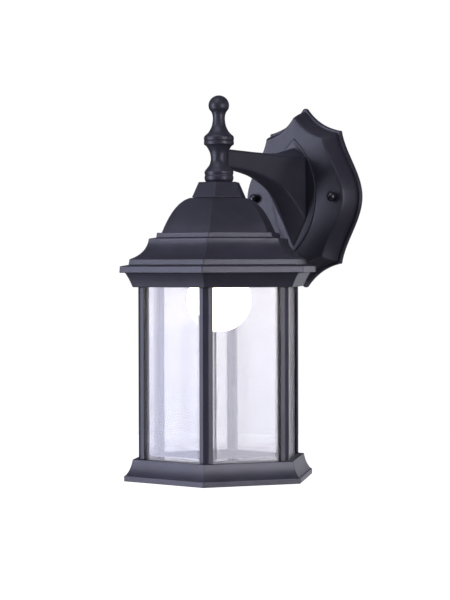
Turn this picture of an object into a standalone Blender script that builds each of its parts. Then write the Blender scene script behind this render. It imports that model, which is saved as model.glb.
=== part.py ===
"""Outdoor wall lantern: a six-sided glazed cage hung from a curved arm on a shaped wall plate.

Sizes are in millimetres, and MM turns them into metres. +Z is up, +Y points into the wall, and the
origin is the middle of the wall plate on the wall's surface. Lantern heights are measured from the
lantern's foot, on its own axis.
"""
import bmesh
import bpy
from math import atan2, cos, pi, radians, sin, sqrt, tan
from mathutils import Matrix, Vector

MM = 0.001
GAP = 0.3                    # clearance between pieces that touch
COS30 = cos(radians(30))

# Where the lantern hangs
REACH = 122.7                # wall to the lantern's axis
RISE = 30.1                  # plate's middle up to the waist of the arm's boss

# Heights of the lantern's stages, from the foot up
FOOT_HEIGHT = 4.6            # upright band of the base
BASE_HEIGHT = 17.8           # foot to the base's top
CAGE_HEIGHT = 141.4          # clear height between base and cornice
CORNICE_HEIGHT = 11.8
BRIM_HEIGHT = 5.4
BRIM_PITCH = 1.2             # fall of the brim's top
BAND_HEIGHT = 4.0            # upright band at the foot of the roof
SKIRT_HEIGHT = 17.2
STEP_HEIGHT = 4.8            # ring between skirt and dome
DOME_HEIGHT = 29.0
CAP_HEIGHT = 12.9
WAIST_HEIGHT = 19.3          # boss's foot up to its waist
BOSS_HEIGHT = 34.0
FINIAL_HEIGHT = 37.6

# Widths of the six-sided stages, centre to corner
CAGE_CORNER = 71.8
BASE_SPREAD = 12.3           # base's foot beyond the cage's corner
CORNICE_SPREAD = 11.0
BRIM_SPREAD = 15.8
BAND_SPREAD = 7.8
COVE_FOOT_SPREAD = 4.4       # cornice's foot beyond the cage's corner
BASE_TOP_SPREAD = 4.8        # base's top beyond the cage's corner
SKIRT_TOP = 62.0
STEP_CORNER = 55.5
DOME_FOOT = 50.7
DOME_SWELL = 39.8            # control point of the dome's curve
DOME_TOP = 25.4
CAP_FOOT = 24.2
CAP_TOP = 18.1
ROOF_WALL = 2.2
CASTING_WALL = 2.5

# Cage
NOSE_WIDTH = 4.5             # blunt corner of each post
FLANGE_REACH = 3.9           # post's flange along the glass
FLANGE_THICKNESS = 1.8
RIB_WIDTH = 2.4
LIP_REACH = 3.0              # post's inner lip along the glass
LIP_THICKNESS = 1.2
TENON_LENGTH = 4.0
GLASS_THICKNESS = 3.2
GLASS_BEVEL_WIDTH = 7.5
GLASS_BEVEL_DEPTH = 0.8
GLASS_PLAY = 0.5             # glass to the back of the post's flange
REBATE = 2.0                 # depth of the glass's groove in the base
UPPER_REBATE = 6.3           # depth of the glass's groove in the top frame
LIP = 2.0                    # inner lip of both grooves

# Wall plate
PLATE_WIDTH = 119.0
PLATE_HEIGHT = 156.6
PLATE_DEPTH = 18.9
PLATE_WALL = 2.6
PLATE_LIP = 3.6              # upright rim against the wall
PLATE_SHRINK = 7.4           # front face's outline inside the rim's, at the sides
PLATE_TOP_SHRINK = 9.2       # the same at the upper and lower points
SHOULDER_IN = 21.6           # shoulder inside the plate's widest place
SHOULDER_DOWN = 20.9         # shoulder below the plate's point
PAD_HALF_WIDTH = 23.6
PAD_HALF_HEIGHT = 49.6
PAD_LIFT = 2.0               # pad's middle above the plate's
PAD_RISE = 0.9
STUD_SPACING = 84.4
STUD_RADIUS = 2.0
STUD_REACH = 23.0
STRAP_LENGTH = 100.0
STRAP_WIDTH = 16.0
STRAP_THICKNESS = 2.0
CAP_NUT_RADIUS = 4.2

# Arm
ARM_ROOT_HALF_WIDTH = 5.9
ARM_FOOT_HALF_WIDTH = 13.4
ARM_SCREW_HEIGHTS = (28.0, -22.0)
ARM_SCREW_RADIUS = 2.0
ARM_SCREW_GRIP = 8.0
DUCT_RADIUS = 3.4
DUCT_EXIT = 10.6             # height where the wires leave the arm, above the plate's middle

# Lamp holder and bulb
NIPPLE_RADIUS = 4.8
NIPPLE_BORE = 3.6
BULB_RADIUS = 26.2
BULB_HEIGHT = 148.0          # middle of the globe
BULB_WALL = 1.0
BULB_NECK = 12.1
SCREW_BASE_RADIUS = 13.3
SCREW_BASE_HEIGHT = 21.4
SOCKET_RADIUS = 18.2
SHELL_WALL = 0.6
LEAD_RADIUS = 0.9
LEAD_SPREAD = 1.3            # each lead's distance from the middle of the duct
SCREW_RING = 47.5            # axis to the screws that hold the roof
FRAME_SCREW_RADIUS = 1.6
FRAME_SCREW_GRIP = 9.6

# Heights worked out from the stages
CORNICE_FOOT = BASE_HEIGHT + CAGE_HEIGHT
BRIM_FOOT = CORNICE_FOOT + CORNICE_HEIGHT
BRIM_TOP = BRIM_FOOT + BRIM_HEIGHT
FRAME_TOP = BRIM_TOP + BRIM_PITCH
ROOF_FOOT = FRAME_TOP + GAP
SKIRT_FOOT = ROOF_FOOT + BAND_HEIGHT
SKIRT_HEAD = SKIRT_FOOT + SKIRT_HEIGHT
STEP_HEAD = SKIRT_HEAD + STEP_HEIGHT
ROOF_TOP = STEP_HEAD + DOME_HEIGHT
CAP_BOTTOM = ROOF_TOP + GAP
CAP_HEAD = CAP_BOTTOM + CAP_HEIGHT
BOSS_FOOT = CAP_HEAD + GAP
WAIST = BOSS_FOOT + WAIST_HEIGHT
BOSS_TOP = BOSS_FOOT + BOSS_HEIGHT
FINIAL_FOOT = BOSS_TOP + GAP
FINIAL_TOP = FINIAL_FOOT + FINIAL_HEIGHT
DROP = WAIST - RISE          # plate's middle down to the lantern's foot

# Faces of the cage, as distances from the axis square to a side
FACE = CAGE_CORNER * COS30
FLANGE_BACK = FACE - FLANGE_THICKNESS
GLASS_FRONT = FLANGE_BACK - GLASS_PLAY
GLASS_BACK = GLASS_FRONT - GLASS_THICKNESS
GROOVE_OUTER = (GLASS_FRONT + GAP) / COS30
GROOVE_INNER = (GLASS_BACK - GAP) / COS30
LIP_INNER = (GLASS_BACK - GAP - LIP) / COS30
GLASS_FOOT = BASE_HEIGHT - REBATE + GAP
GLASS_HEAD = CORNICE_FOOT + UPPER_REBATE - GAP
NIPPLE_HOLE = (NIPPLE_RADIUS + GAP) / COS30
NIPPLE_TOP = WAIST - 7.0

# Wall plate and arm, as distances from the wall
PAD_FRONT = PLATE_DEPTH + PAD_RISE
ARM_FOOT = PAD_FRONT + GAP
ARM_LENGTH = REACH - ARM_FOOT
CAVITY_FACE = PLATE_DEPTH - PLATE_WALL

# Bulb
BULB_NECK_FOOT = BULB_HEIGHT + sqrt(BULB_RADIUS ** 2 - BULB_NECK ** 2)
BASE_RIM = BULB_NECK_FOOT + 5.8
BASE_END = BASE_RIM + SCREW_BASE_HEIGHT
TIP_TOP = BASE_END + 3.2
SOCKET_RIM = BASE_RIM + 1.5
SOCKET_CEILING = TIP_TOP + 4.0
SOCKET_TOP = SOCKET_CEILING + 3.5
CUP_TOP = SOCKET_TOP + 15.0

parts = bpy.data.collections.new("outdoor_wall_lantern")
cutters = bpy.data.collections.new("cutters")


# ---------------------------------------------------------------- helpers

def clear_scene():
    for thing in list(bpy.data.objects):
        bpy.data.objects.remove(thing, do_unlink=True)
    for collection in (parts, cutters):
        bpy.context.scene.collection.children.link(collection)


def material(name, colour, roughness, metallic=0.0):
    finish = bpy.data.materials.new(name)
    finish.use_nodes = True
    shader = finish.node_tree.nodes["Principled BSDF"]
    shader.inputs["Base Color"].default_value = (*colour, 1.0)
    shader.inputs["Roughness"].default_value = roughness
    shader.inputs["Metallic"].default_value = metallic
    finish.diffuse_color = (*colour, 1.0)
    return finish


def add(name, mesh, finish, parent=None):
    piece = bpy.data.objects.new(name, mesh)
    piece.data.materials.append(finish)
    parts.objects.link(piece)
    piece.parent = parent
    return piece


def guide(name, mesh, parent=None):
    """A shape that only cuts or joins."""
    piece = bpy.data.objects.new(name, mesh)
    cutters.objects.link(piece)
    piece.parent = parent
    piece.hide_render = True
    piece.display_type = "WIRE"
    return piece


def boolean(piece, tool, operation):
    step = piece.modifiers.new(tool.name, "BOOLEAN")
    step.object = tool
    step.operation = operation
    step.solver = "EXACT"


def cut(piece, *tools):
    for tool in tools:
        boolean(piece, tool, "DIFFERENCE")


def join(piece, *tools):
    for tool in tools:
        boolean(piece, tool, "UNION")


def finished(name, body):
    """Turn a bmesh in millimetres into a mesh in metres."""
    bmesh.ops.scale(body, vec=(MM, MM, MM), verts=body.verts)
    bmesh.ops.recalc_face_normals(body, faces=body.faces)
    mesh = bpy.data.meshes.new(name)
    body.to_mesh(mesh)
    body.free()
    return mesh


def profile_mesh(name, profile, closed):
    """A chain of edges in the XZ plane, ready to be turned about Z."""
    body = bmesh.new()
    points = [body.verts.new((radius * MM, 0.0, height * MM)) for radius, height in profile]
    for start, end in zip(points, points[1:]):
        body.edges.new((start, end))
    if closed:
        body.edges.new((points[-1], points[0]))
    mesh = bpy.data.meshes.new(name)
    body.to_mesh(mesh)
    body.free()
    return mesh


def turn(piece, steps):
    screw = piece.modifiers.new("turned", "SCREW")
    screw.steps = steps
    screw.render_steps = steps
    screw.use_merge_vertices = True
    screw.merge_threshold = 0.00001
    screw.use_smooth_shade = steps > 6
    return piece


def turned(name, profile, finish, parent, steps=20, closed=True):
    """A profile given down its outer side and, if closed, back up its inner side."""
    return turn(add(name, profile_mesh(name, profile, closed), finish, parent), steps)


def cylinder_mesh(name, radius, start, end, axis="Z", at=(0.0, 0.0), sides=16, radius_end=None):
    """A cylinder or cone along an axis from start to end; at is its place square to the axis."""
    body = bmesh.new()
    bmesh.ops.create_cone(
        body,
        cap_ends=True,
        segments=sides,
        radius1=radius,
        radius2=radius if radius_end is None else radius_end,
        depth=end - start,
    )
    bmesh.ops.rotate(body, matrix=Matrix.Rotation(pi / sides, 3, "Z"), verts=body.verts)
    middle = (start + end) / 2
    if axis == "Z":
        bmesh.ops.translate(body, vec=(at[0], at[1], middle), verts=body.verts)
    elif axis == "Y":
        bmesh.ops.rotate(body, matrix=Matrix.Rotation(-pi / 2, 3, "X"), verts=body.verts)
        bmesh.ops.translate(body, vec=(at[0], middle, at[1]), verts=body.verts)
    else:
        bmesh.ops.rotate(body, matrix=Matrix.Rotation(pi / 2, 3, "Y"), verts=body.verts)
        bmesh.ops.translate(body, vec=(middle, at[0], at[1]), verts=body.verts)
    return finished(name, body)


def box_mesh(name, low, high):
    body = bmesh.new()
    bmesh.ops.create_cube(body, size=1.0)
    size = Vector(high) - Vector(low)
    bmesh.ops.scale(body, vec=size, verts=body.verts)
    bmesh.ops.translate(body, vec=(Vector(high) + Vector(low)) / 2, verts=body.verts)
    return finished(name, body)


def loft_mesh(name, rings):
    """Skin a row of rings that have the same number of points, and close both ends."""
    body = bmesh.new()
    loops = [[body.verts.new(point) for point in ring] for ring in rings]
    for lower, upper in zip(loops, loops[1:]):
        for i in range(len(lower)):
            following = (i + 1) % len(lower)
            body.faces.new((lower[i], lower[following], upper[following], upper[i]))
    body.faces.new(loops[0])
    body.faces.new(loops[-1])
    return finished(name, body)


def bezier(points, t):
    """A point on the Bezier curve with these control points."""
    while len(points) > 1:
        points = [a.lerp(b, t) for a, b in zip(points, points[1:])]
    return points[0]


def arc_points(control, steps, skip_first=False):
    vectors = [Vector(point) for point in control]
    return [tuple(bezier(vectors, i / steps)) for i in range(1 if skip_first else 0, steps + 1)]


def smooth_value(values, t):
    """A value on the smooth curve through evenly spaced values, for t from 0 to 1."""
    position = min(t, 0.99999) * (len(values) - 1)
    i = int(position)
    u = position - i
    before = values[i - 1] if i > 0 else 2 * values[0] - values[1]
    start, end = values[i], values[i + 1]
    after = values[i + 2] if i + 2 < len(values) else 2 * values[-1] - values[-2]
    return 0.5 * (
        2 * start
        + (end - before) * u
        + (2 * before - 5 * start + 4 * end - after) * u ** 2
        + (3 * start - before - 3 * end + after) * u ** 3
    )


def smooth_path(points, steps):
    """Points on the smooth curve through a list of 3D points."""
    columns = list(zip(*points))
    return [
        Vector([smooth_value(column, i / steps) for column in columns]) for i in range(steps + 1)
    ]


def tube_mesh(name, points, radius, resolution=2):
    """A round bar along points, in metres, as a closed mesh."""
    curve = bpy.data.curves.new(name, "CURVE")
    curve.dimensions = "3D"
    curve.bevel_depth = radius * MM
    curve.bevel_resolution = resolution
    curve.use_fill_caps = True
    spline = curve.splines.new("POLY")
    spline.points.add(len(points) - 1)
    for place, point in zip(spline.points, points):
        place.co = (*(Vector(point) * MM), 1.0)
    bar = bpy.data.objects.new(name, curve)
    parts.objects.link(bar)
    bpy.context.view_layer.update()
    evaluated = bar.evaluated_get(bpy.context.evaluated_depsgraph_get())
    mesh = bpy.data.meshes.new_from_object(evaluated)
    bpy.data.objects.remove(bar, do_unlink=True)
    body = bmesh.new()
    body.from_mesh(mesh)
    bmesh.ops.remove_doubles(body, verts=body.verts, dist=0.000001)
    bmesh.ops.recalc_face_normals(body, faces=body.faces)
    body.to_mesh(mesh)
    body.free()
    return mesh


def pan_head_screw(name, finish, radius, head_radius, head_height, length, parent=None):
    """A screw whose head's underside is at its origin; its shank runs up +Z."""
    profile = [
        (0.0, length),
        (radius, length),
        (radius, 0.0),
        (head_radius, 0.0),
        (head_radius, -0.6 * head_height),
        (0.7 * head_radius, -head_height),
        (0.0, -head_height),
    ]
    return turned(name, profile, finish, parent, steps=16, closed=False)


def hex_nut(name, finish, corner, bore, thickness, parent=None):
    """A nut that stands on its origin along +Z."""
    nut = add(name, cylinder_mesh(name, corner, 0.0, thickness, sides=6), finish, parent)
    cut(nut, guide(name + "_bore", cylinder_mesh(name, bore, -1.0, thickness + 1.0), nut))
    return nut


# ---------------------------------------------------------------- materials

clear_scene()

painted = material("black_powder_coat", (0.012, 0.012, 0.018), 0.55)
dark_screw = material("black_zinc", (0.02, 0.02, 0.022), 0.4, 0.6)
clear_glass = material("clear_glass", (0.9, 0.92, 0.95), 0.02)
zinc = material("zinc_plate", (0.62, 0.63, 0.64), 0.35, 1.0)
brass = material("brass", (0.72, 0.52, 0.22), 0.3, 1.0)
porcelain = material("porcelain", (0.85, 0.84, 0.8), 0.25)
bulb_white = material("bulb_glass", (1.0, 0.98, 0.94), 0.3)
insulator_black = material("base_insulator", (0.02, 0.02, 0.03), 0.2)
green_screw = material("green_screw", (0.03, 0.25, 0.08), 0.35, 0.5)
black_lead = material("black_lead", (0.02, 0.02, 0.02), 0.45)
white_lead = material("white_lead", (0.8, 0.8, 0.78), 0.45)
connector_orange = material("connector", (0.75, 0.2, 0.03), 0.5)

lantern = bpy.data.objects.new("lantern_axis", None)
lantern.location = (0.0, -REACH * MM, -DROP * MM)
parts.objects.link(lantern)


# ---------------------------------------------------------------- wall plate

def quarter_outline(half_width, half_height, shoulder, point_half_width):
    """From the upper point round the shoulder to the widest place, without the last point."""
    shoulder_x, shoulder_z = shoulder
    point = (point_half_width, half_height)
    hollow = (0.4 * shoulder_x, shoulder_z + 0.18 * (half_height - shoulder_z))
    upper = arc_points([point, hollow, shoulder], 6)
    under_shoulder = (shoulder_x + 0.16 * (half_width - shoulder_x), 0.66 * shoulder_z)
    above_side = (half_width, 0.35 * shoulder_z)
    side = arc_points([shoulder, under_shoulder, above_side, (half_width, 0.0)], 9, True)
    return upper + side[:-1]


def full_outline(quarter, half_width):
    """Mirror a quarter outline into the whole loop, clockwise from the upper point."""
    right = quarter + [(half_width, 0.0)] + [(x, -z) for x, z in reversed(quarter)]
    left = [(-x, z) for x, z in reversed(right)]
    loop = []
    for x, z in right + left:
        if not loop or abs(x - loop[-1][0]) + abs(z - loop[-1][1]) > 0.01:
            loop.append((x, z))
    first, last = loop[0], loop[-1]
    if abs(first[0] - last[0]) + abs(first[1] - last[1]) < 0.01:
        loop.pop()
    return loop


def plate_outline(inset):
    """The rim's outline at inset 0 and the front face's at inset 1."""
    half_width = PLATE_WIDTH / 2 - inset * PLATE_SHRINK
    half_height = PLATE_HEIGHT / 2 - inset * PLATE_TOP_SHRINK
    rim_shoulder = Vector((PLATE_WIDTH / 2 - SHOULDER_IN, PLATE_HEIGHT / 2 - SHOULDER_DOWN))
    face_shoulder = rim_shoulder - Vector((7.5, 5.9))
    shoulder = tuple(rim_shoulder.lerp(face_shoulder, inset))
    point_half_width = 1.5 - 0.8 * inset
    return full_outline(
        quarter_outline(half_width, half_height, shoulder, point_half_width), half_width
    )


def plate_ring(inset, depth, shrink=0.0):
    """One level of the plate: its outline at this inset, this far from the wall."""
    across = 1 - shrink / (PLATE_WIDTH / 2)
    along = 1 - shrink / (PLATE_HEIGHT / 2)
    return [(x * across, -depth, z * along) for x, z in plate_outline(inset)]


def plate_levels(depth, shrink):
    """The plate's flank from the wall to a front face at this depth."""
    flank = depth - PLATE_LIP
    return [
        plate_ring(0.0, PLATE_LIP, shrink),
        plate_ring(0.32, PLATE_LIP + 0.02 * flank, shrink),
        plate_ring(0.58, PLATE_LIP + 0.5 * flank, shrink),
        plate_ring(0.87, PLATE_LIP + 0.88 * flank, shrink),
        plate_ring(1.0, PLATE_LIP + 0.97 * flank, shrink + 0.2),
        plate_ring(1.0, depth, shrink + 1.0),
    ]


def almond(half_width, half_height, steps=14):
    """A pointed oval from two arcs, as X and Z, clockwise from its upper point."""
    radius = (half_height ** 2 + half_width ** 2) / (2 * half_width)
    sweep = atan2(half_height, radius - half_width)
    right = [
        (
            radius * cos(sweep * (1 - 2 * i / steps)) - (radius - half_width),
            radius * sin(sweep * (1 - 2 * i / steps)),
        )
        for i in range(steps)
    ]
    return right + [(-x, -z) for x, z in right]


def prism_mesh(name, outline, back, front):
    """An outline in X and Z carried from one distance from the wall to another."""
    rings = [[(x, -depth, z) for x, z in outline] for depth in (back, front)]
    return loft_mesh(name, rings)


def wall_plate():
    plate = add(
        "wall_plate",
        loft_mesh("wall_plate", [plate_ring(0.0, 0.0)] + plate_levels(PLATE_DEPTH, 0.0)),
        painted,
    )
    cavity_rings = [plate_ring(0.0, -1.0, PLATE_WALL)] + plate_levels(CAVITY_FACE, PLATE_WALL)
    cavity = guide("plate_cavity", loft_mesh("plate_cavity", cavity_rings))
    outline = [(x, z + PAD_LIFT) for x, z in almond(PAD_HALF_WIDTH, PAD_HALF_HEIGHT)]
    pad = guide("plate_pad", prism_mesh("plate_pad", outline, CAVITY_FACE + 1.0, PAD_FRONT))
    cut(plate, cavity)
    join(plate, pad)
    front = -PAD_FRONT - 5.0
    for side, x in (("left", -STUD_SPACING / 2), ("right", STUD_SPACING / 2)):
        name = "plate_stud_hole_" + side
        hole = cylinder_mesh(name, STUD_RADIUS + 2 * GAP, front, 0.0, "Y", (x, 0.0))
        cut(plate, guide(name, hole))
    for number, height in enumerate(ARM_SCREW_HEIGHTS, 1):
        name = f"plate_arm_hole_{number}"
        hole = cylinder_mesh(name, ARM_SCREW_RADIUS + GAP, front, 0.0, "Y", (0.0, height))
        cut(plate, guide(name, hole))
    name = "plate_wire_hole"
    hole = cylinder_mesh(name, DUCT_RADIUS + 1.2, front, 0.0, "Y", (0.0, DUCT_EXIT))
    cut(plate, guide(name, hole))


def mounting_strap():
    name = "mounting_strap"
    half_length, half_width = STRAP_LENGTH / 2, STRAP_WIDTH / 2
    low = (-half_length, -STRAP_THICKNESS, -half_width)
    strap = add(name, box_mesh(name, low, (half_length, 0.0, half_width)), zinc)
    for side, sign in (("left", -1), ("right", 1)):
        stud_hole = cylinder_mesh(
            name, STUD_RADIUS + GAP, -STRAP_THICKNESS - 1.0, 1.0, "Y", (sign * STUD_SPACING / 2, 0.0)
        )
        slot_outer = sign * (STUD_SPACING / 2 - 7.0)
        slot_inner = slot_outer - sign * 14.0
        slot = box_mesh(
            name,
            (min(slot_outer, slot_inner), -STRAP_THICKNESS - 1.0, -2.3),
            (max(slot_outer, slot_inner), 1.0, 2.3),
        )
        cut(strap, guide("strap_stud_hole_" + side, stud_hole), guide("strap_slot_" + side, slot))
    ground_hole = cylinder_mesh(name, 1.8 + GAP, -STRAP_THICKNESS - 1.0, 1.0, "Y", (12.0, 4.5))
    cut(strap, guide("strap_ground_hole", ground_hole))
    ground = pan_head_screw("ground_screw", green_screw, 1.8, 3.4, 2.2, STRAP_THICKNESS)
    ground.location = (12.0 * MM, -(STRAP_THICKNESS + GAP) * MM, 4.5 * MM)
    ground.rotation_euler = (-pi / 2, 0.0, 0.0)


def plate_fasteners():
    """Two studs stand out of the strap, each with a lock nut behind and a ball nut in front."""
    nut_foot = PLATE_DEPTH + GAP
    ball_middle = nut_foot + 2.7
    foot_angle = -radians(42)
    for side, x in (("left", -STUD_SPACING / 2), ("right", STUD_SPACING / 2)):
        name = "mounting_stud_" + side
        stud = cylinder_mesh(name, STUD_RADIUS, -STUD_REACH, -GAP, "Y", (x, 0.0))
        add(name, stud, zinc)
        nut = hex_nut("stud_lock_nut_" + side, zinc, 4.3, STUD_RADIUS + GAP, 3.0)
        nut.location = (x * MM, -(STRAP_THICKNESS + GAP) * MM, 0.0)
        nut.rotation_euler = (pi / 2, 0.0, 0.0)
        bore = STUD_RADIUS + GAP
        ball = [
            (
                CAP_NUT_RADIUS * cos(angle),
                ball_middle + CAP_NUT_RADIUS * sin(angle),
            )
            for angle in [radians(90) + (foot_angle - radians(90)) * i / 8 for i in range(9)]
        ]
        neck = [(ball[-1][0], nut_foot), (bore, nut_foot), (bore, STUD_REACH + GAP)]
        profile = [(0.0, ball[0][1])] + ball[1:] + neck + [(0.0, STUD_REACH + GAP)]
        cap_nut = turned("cap_nut_" + side, profile, painted, None, steps=16, closed=False)
        cap_nut.location = (x * MM, 0.0, 0.0)
        cap_nut.rotation_euler = (pi / 2, 0.0, 0.0)


# ---------------------------------------------------------------- arm and finial

def boss_profile():
    """Outer side of the arm's turned boss, from its top to its foot."""
    foot = BOSS_FOOT
    waist = WAIST
    top = BOSS_TOP
    upper = [(12.1, top), (12.5, top - 0.6), (12.5, top - 2.6), (11.9, top - 3.3), (10.6, top - 4.5)]
    shoulder = [(9.3, waist + 8.5), (8.4, waist + 6.9), (7.4, waist + 4.4), (6.8, waist + 1.1)]
    lower = [(6.85, waist - 1.4), (7.5, waist - 3.9), (8.25, waist - 5.6), (9.4, waist - 7.2)]
    collar = [(10.8, foot + 10.4), (12.0, foot + 8.5), (12.0, foot + 6.6), (11.7, foot + 5.4)]
    ring = [(12.0, foot + 4.4), (12.1, foot + 3.1), (11.7, foot + 1.5), (11.1, foot)]
    return upper + shoulder + lower + collar + ring


def arm_rings(steps=14):
    """Six-sided sections of the arm from its boss to its foot on the plate."""
    stages = []
    levels = {
        "top": (RISE + 8.7, 43.6, (0.0, -0.15, -0.27, -0.17, 1.0)),
        "shoulder": (RISE + 8.1, 34.9, (0.0, 0.27, 0.61, 0.97, 1.0)),
        "crease": (RISE - 7.7, -18.0, (0.0, 0.032, 0.146, 0.384, 1.0)),
        "keel": (RISE - 8.3, -43.0, (0.0, 0.037, 0.145, 0.403, 1.0)),
    }
    for i in range(steps + 1):
        t = i / steps
        out = -REACH + 1.0 + (ARM_LENGTH - 1.0) * t
        height = {
            name: root + (foot - root) * smooth_value(share, t)
            for name, (root, foot, share) in levels.items()
        }
        spread = smooth_value((0.0, 0.05, 0.27, 0.6, 1.0), t)
        half = ARM_ROOT_HALF_WIDTH + (ARM_FOOT_HALF_WIDTH - ARM_ROOT_HALF_WIDTH) * spread
        stages.append(
            [
                (0.0, out, height["top"]),
                (half, out, height["shoulder"]),
                (half, out, height["crease"]),
                (0.0, out, height["keel"]),
                (-half, out, height["crease"]),
                (-half, out, height["shoulder"]),
            ]
        )
    return stages


def duct_points(sideways=0.0):
    """The wires' way through the arm, from the boss's waist to the plate's cavity."""
    waist = RISE
    return [
        (sideways, -REACH, waist - 8.0),
        (sideways, -REACH + 1.0, waist - 3.2),
        (sideways, -REACH + 7.5, waist - 0.6),
        (sideways, -REACH + 25.0, waist - 1.6),
        (sideways, -REACH + 50.0, waist - 5.6),
        (sideways, -REACH + 75.0, waist - 12.0),
        (sideways, -ARM_FOOT - 6.0, DUCT_EXIT + 1.4),
        (sideways, -ARM_FOOT + 2.0, DUCT_EXIT),
    ]


def arm():
    casting = add("arm", loft_mesh("arm", arm_rings()), painted)
    closed_boss = [(0.0, BOSS_TOP)] + boss_profile() + [(0.0, BOSS_FOOT)]
    boss = turn(guide("arm_boss", profile_mesh("arm_boss", closed_boss, False), lantern), 24)
    join(casting, boss)
    duct = tube_mesh("arm_duct", smooth_path(duct_points(), 24), DUCT_RADIUS, 2)
    cut(casting, guide("arm_duct", duct))
    nipple_bore = cylinder_mesh("arm_nipple_bore", NIPPLE_RADIUS + GAP, BOSS_FOOT - 1.0, NIPPLE_TOP + GAP)
    finial_bore = cylinder_mesh("arm_finial_bore", 2.5 + GAP, BOSS_TOP - 9.3, BOSS_TOP + 1.0)
    cut(
        casting,
        guide("arm_nipple_bore", nipple_bore, lantern),
        guide("arm_finial_bore", finial_bore, lantern),
    )
    for number, height in enumerate(ARM_SCREW_HEIGHTS, 1):
        name = f"arm_screw_hole_{number}"
        hole_end = -ARM_FOOT - ARM_SCREW_GRIP - GAP
        hole = cylinder_mesh(
            name, ARM_SCREW_RADIUS + GAP, hole_end, -ARM_FOOT + 1.0, "Y", (0.0, height), 12
        )
        cut(casting, guide(name, hole))
        length = PAD_FRONT - CAVITY_FACE + GAP + ARM_SCREW_GRIP
        screw = pan_head_screw(f"arm_screw_{number}", dark_screw, ARM_SCREW_RADIUS, 3.9, 2.6, length)
        screw.location = (0.0, -(CAVITY_FACE - GAP) * MM, height * MM)
        screw.rotation_euler = (pi / 2, 0.0, 0.0)


def finial():
    top, foot = FINIAL_TOP, FINIAL_FOOT
    ball = 8.65
    crown = [
        (ball * cos(radians(90 - 15 * i)), top - ball + ball * sin(radians(90 - 15 * i)))
        for i in range(1, 7)
    ]
    neck = [(8.3, top - 9.8), (7.35, top - 11.2), (6.35, top - 12.9), (5.65, top - 14.6)]
    waist = [(5.2, top - 16.8), (5.05, top - 19.4), (5.3, top - 22.2), (5.95, top - 25.4)]
    bell = [(6.95, foot + 9.8), (8.45, foot + 7.2), (10.35, foot + 5.2), (11.65, foot + 4.1)]
    ring = [(12.2, foot + 3.1), (12.5, foot + 2.3), (12.5, foot + 0.6), (12.1, foot)]
    bore = 2.5 + GAP
    socket = [(bore, foot), (bore, foot + 7.3), (0.0, foot + 7.3)]
    profile = [(0.0, top)] + crown + neck + waist + bell + ring + socket
    turned("finial", profile, painted, lantern, closed=False)
    stud = cylinder_mesh("finial_stud", 2.5, foot - 9.0, foot + 7.0)
    add("finial_stud", stud, zinc, lantern)


# ---------------------------------------------------------------- roof

def roof():
    dome = arc_points([(DOME_TOP, ROOF_TOP), (DOME_SWELL, ROOF_TOP - 3.1), (DOME_FOOT, STEP_HEAD)], 7)
    skirt_control = (SKIRT_TOP + 1.7, SKIRT_FOOT + 5.1)
    band = CAGE_CORNER + BAND_SPREAD
    skirt = arc_points([(SKIRT_TOP, SKIRT_HEAD), skirt_control, (band - 1.2, SKIRT_FOOT + 0.4)], 7)
    outer = (
        [(NIPPLE_HOLE, ROOF_TOP)]
        + dome
        + [(STEP_CORNER - 0.6, STEP_HEAD), (STEP_CORNER, SKIRT_HEAD + 0.9)]
        + skirt
        + [(band - 0.9, SKIRT_FOOT), (band, ROOF_FOOT)]
    )
    wall = ROOF_WALL
    inner_skirt = arc_points(
        [
            (SKIRT_TOP - wall, SKIRT_HEAD - wall),
            (skirt_control[0] - wall, skirt_control[1] - wall),
            (band - 2.0 - wall, SKIRT_FOOT - 0.8),
        ],
        7,
    )
    inner_dome = arc_points(
        [
            (DOME_TOP - 1.0, ROOF_TOP - wall),
            (DOME_SWELL - wall, ROOF_TOP - 3.1 - wall),
            (DOME_FOOT - wall, STEP_HEAD),
        ],
        7,
    )
    inner = (
        [(band - 0.6 - wall, ROOF_FOOT)]
        + inner_skirt[::-1]
        + [(DOME_FOOT - wall, SKIRT_HEAD - wall)]
        + inner_dome[::-1]
        + [(NIPPLE_HOLE, ROOF_TOP - wall)]
    )
    casting = turned("roof", outer + inner, painted, lantern, steps=6)
    for number, angle in enumerate((30, 150, 270), 1):
        place = (SCREW_RING * cos(radians(angle)), SCREW_RING * sin(radians(angle)))
        post = cylinder_mesh("roof_post", 3.6, ROOF_FOOT, SKIRT_HEAD - 1.0, at=place, sides=12)
        join(casting, guide(f"roof_post_{number}", post, lantern))
        hole_top = ROOF_FOOT + FRAME_SCREW_GRIP + GAP
        hole = cylinder_mesh(
            "roof_hole", FRAME_SCREW_RADIUS + GAP, ROOF_FOOT - 1.0, hole_top, at=place, sides=12
        )
        cut(casting, guide(f"roof_hole_{number}", hole, lantern))
        length = CASTING_WALL + 2 * GAP + FRAME_SCREW_GRIP
        screw = pan_head_screw(
            f"frame_screw_{number}", dark_screw, FRAME_SCREW_RADIUS, 2.8, 2.2, length, lantern
        )
        screw.location = (place[0] * MM, place[1] * MM, (FRAME_TOP - CASTING_WALL - GAP) * MM)


def roof_cap():
    profile = [
        (NIPPLE_HOLE, CAP_HEAD),
        (CAP_TOP, CAP_HEAD),
        (CAP_FOOT, CAP_BOTTOM),
        (CAP_FOOT - CASTING_WALL - 0.3, CAP_BOTTOM),
        (CAP_TOP - CASTING_WALL + 0.7, CAP_HEAD - CASTING_WALL),
        (NIPPLE_HOLE, CAP_HEAD - CASTING_WALL),
    ]
    turned("roof_cap", profile, painted, lantern, steps=6)


# ---------------------------------------------------------------- cage

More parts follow.
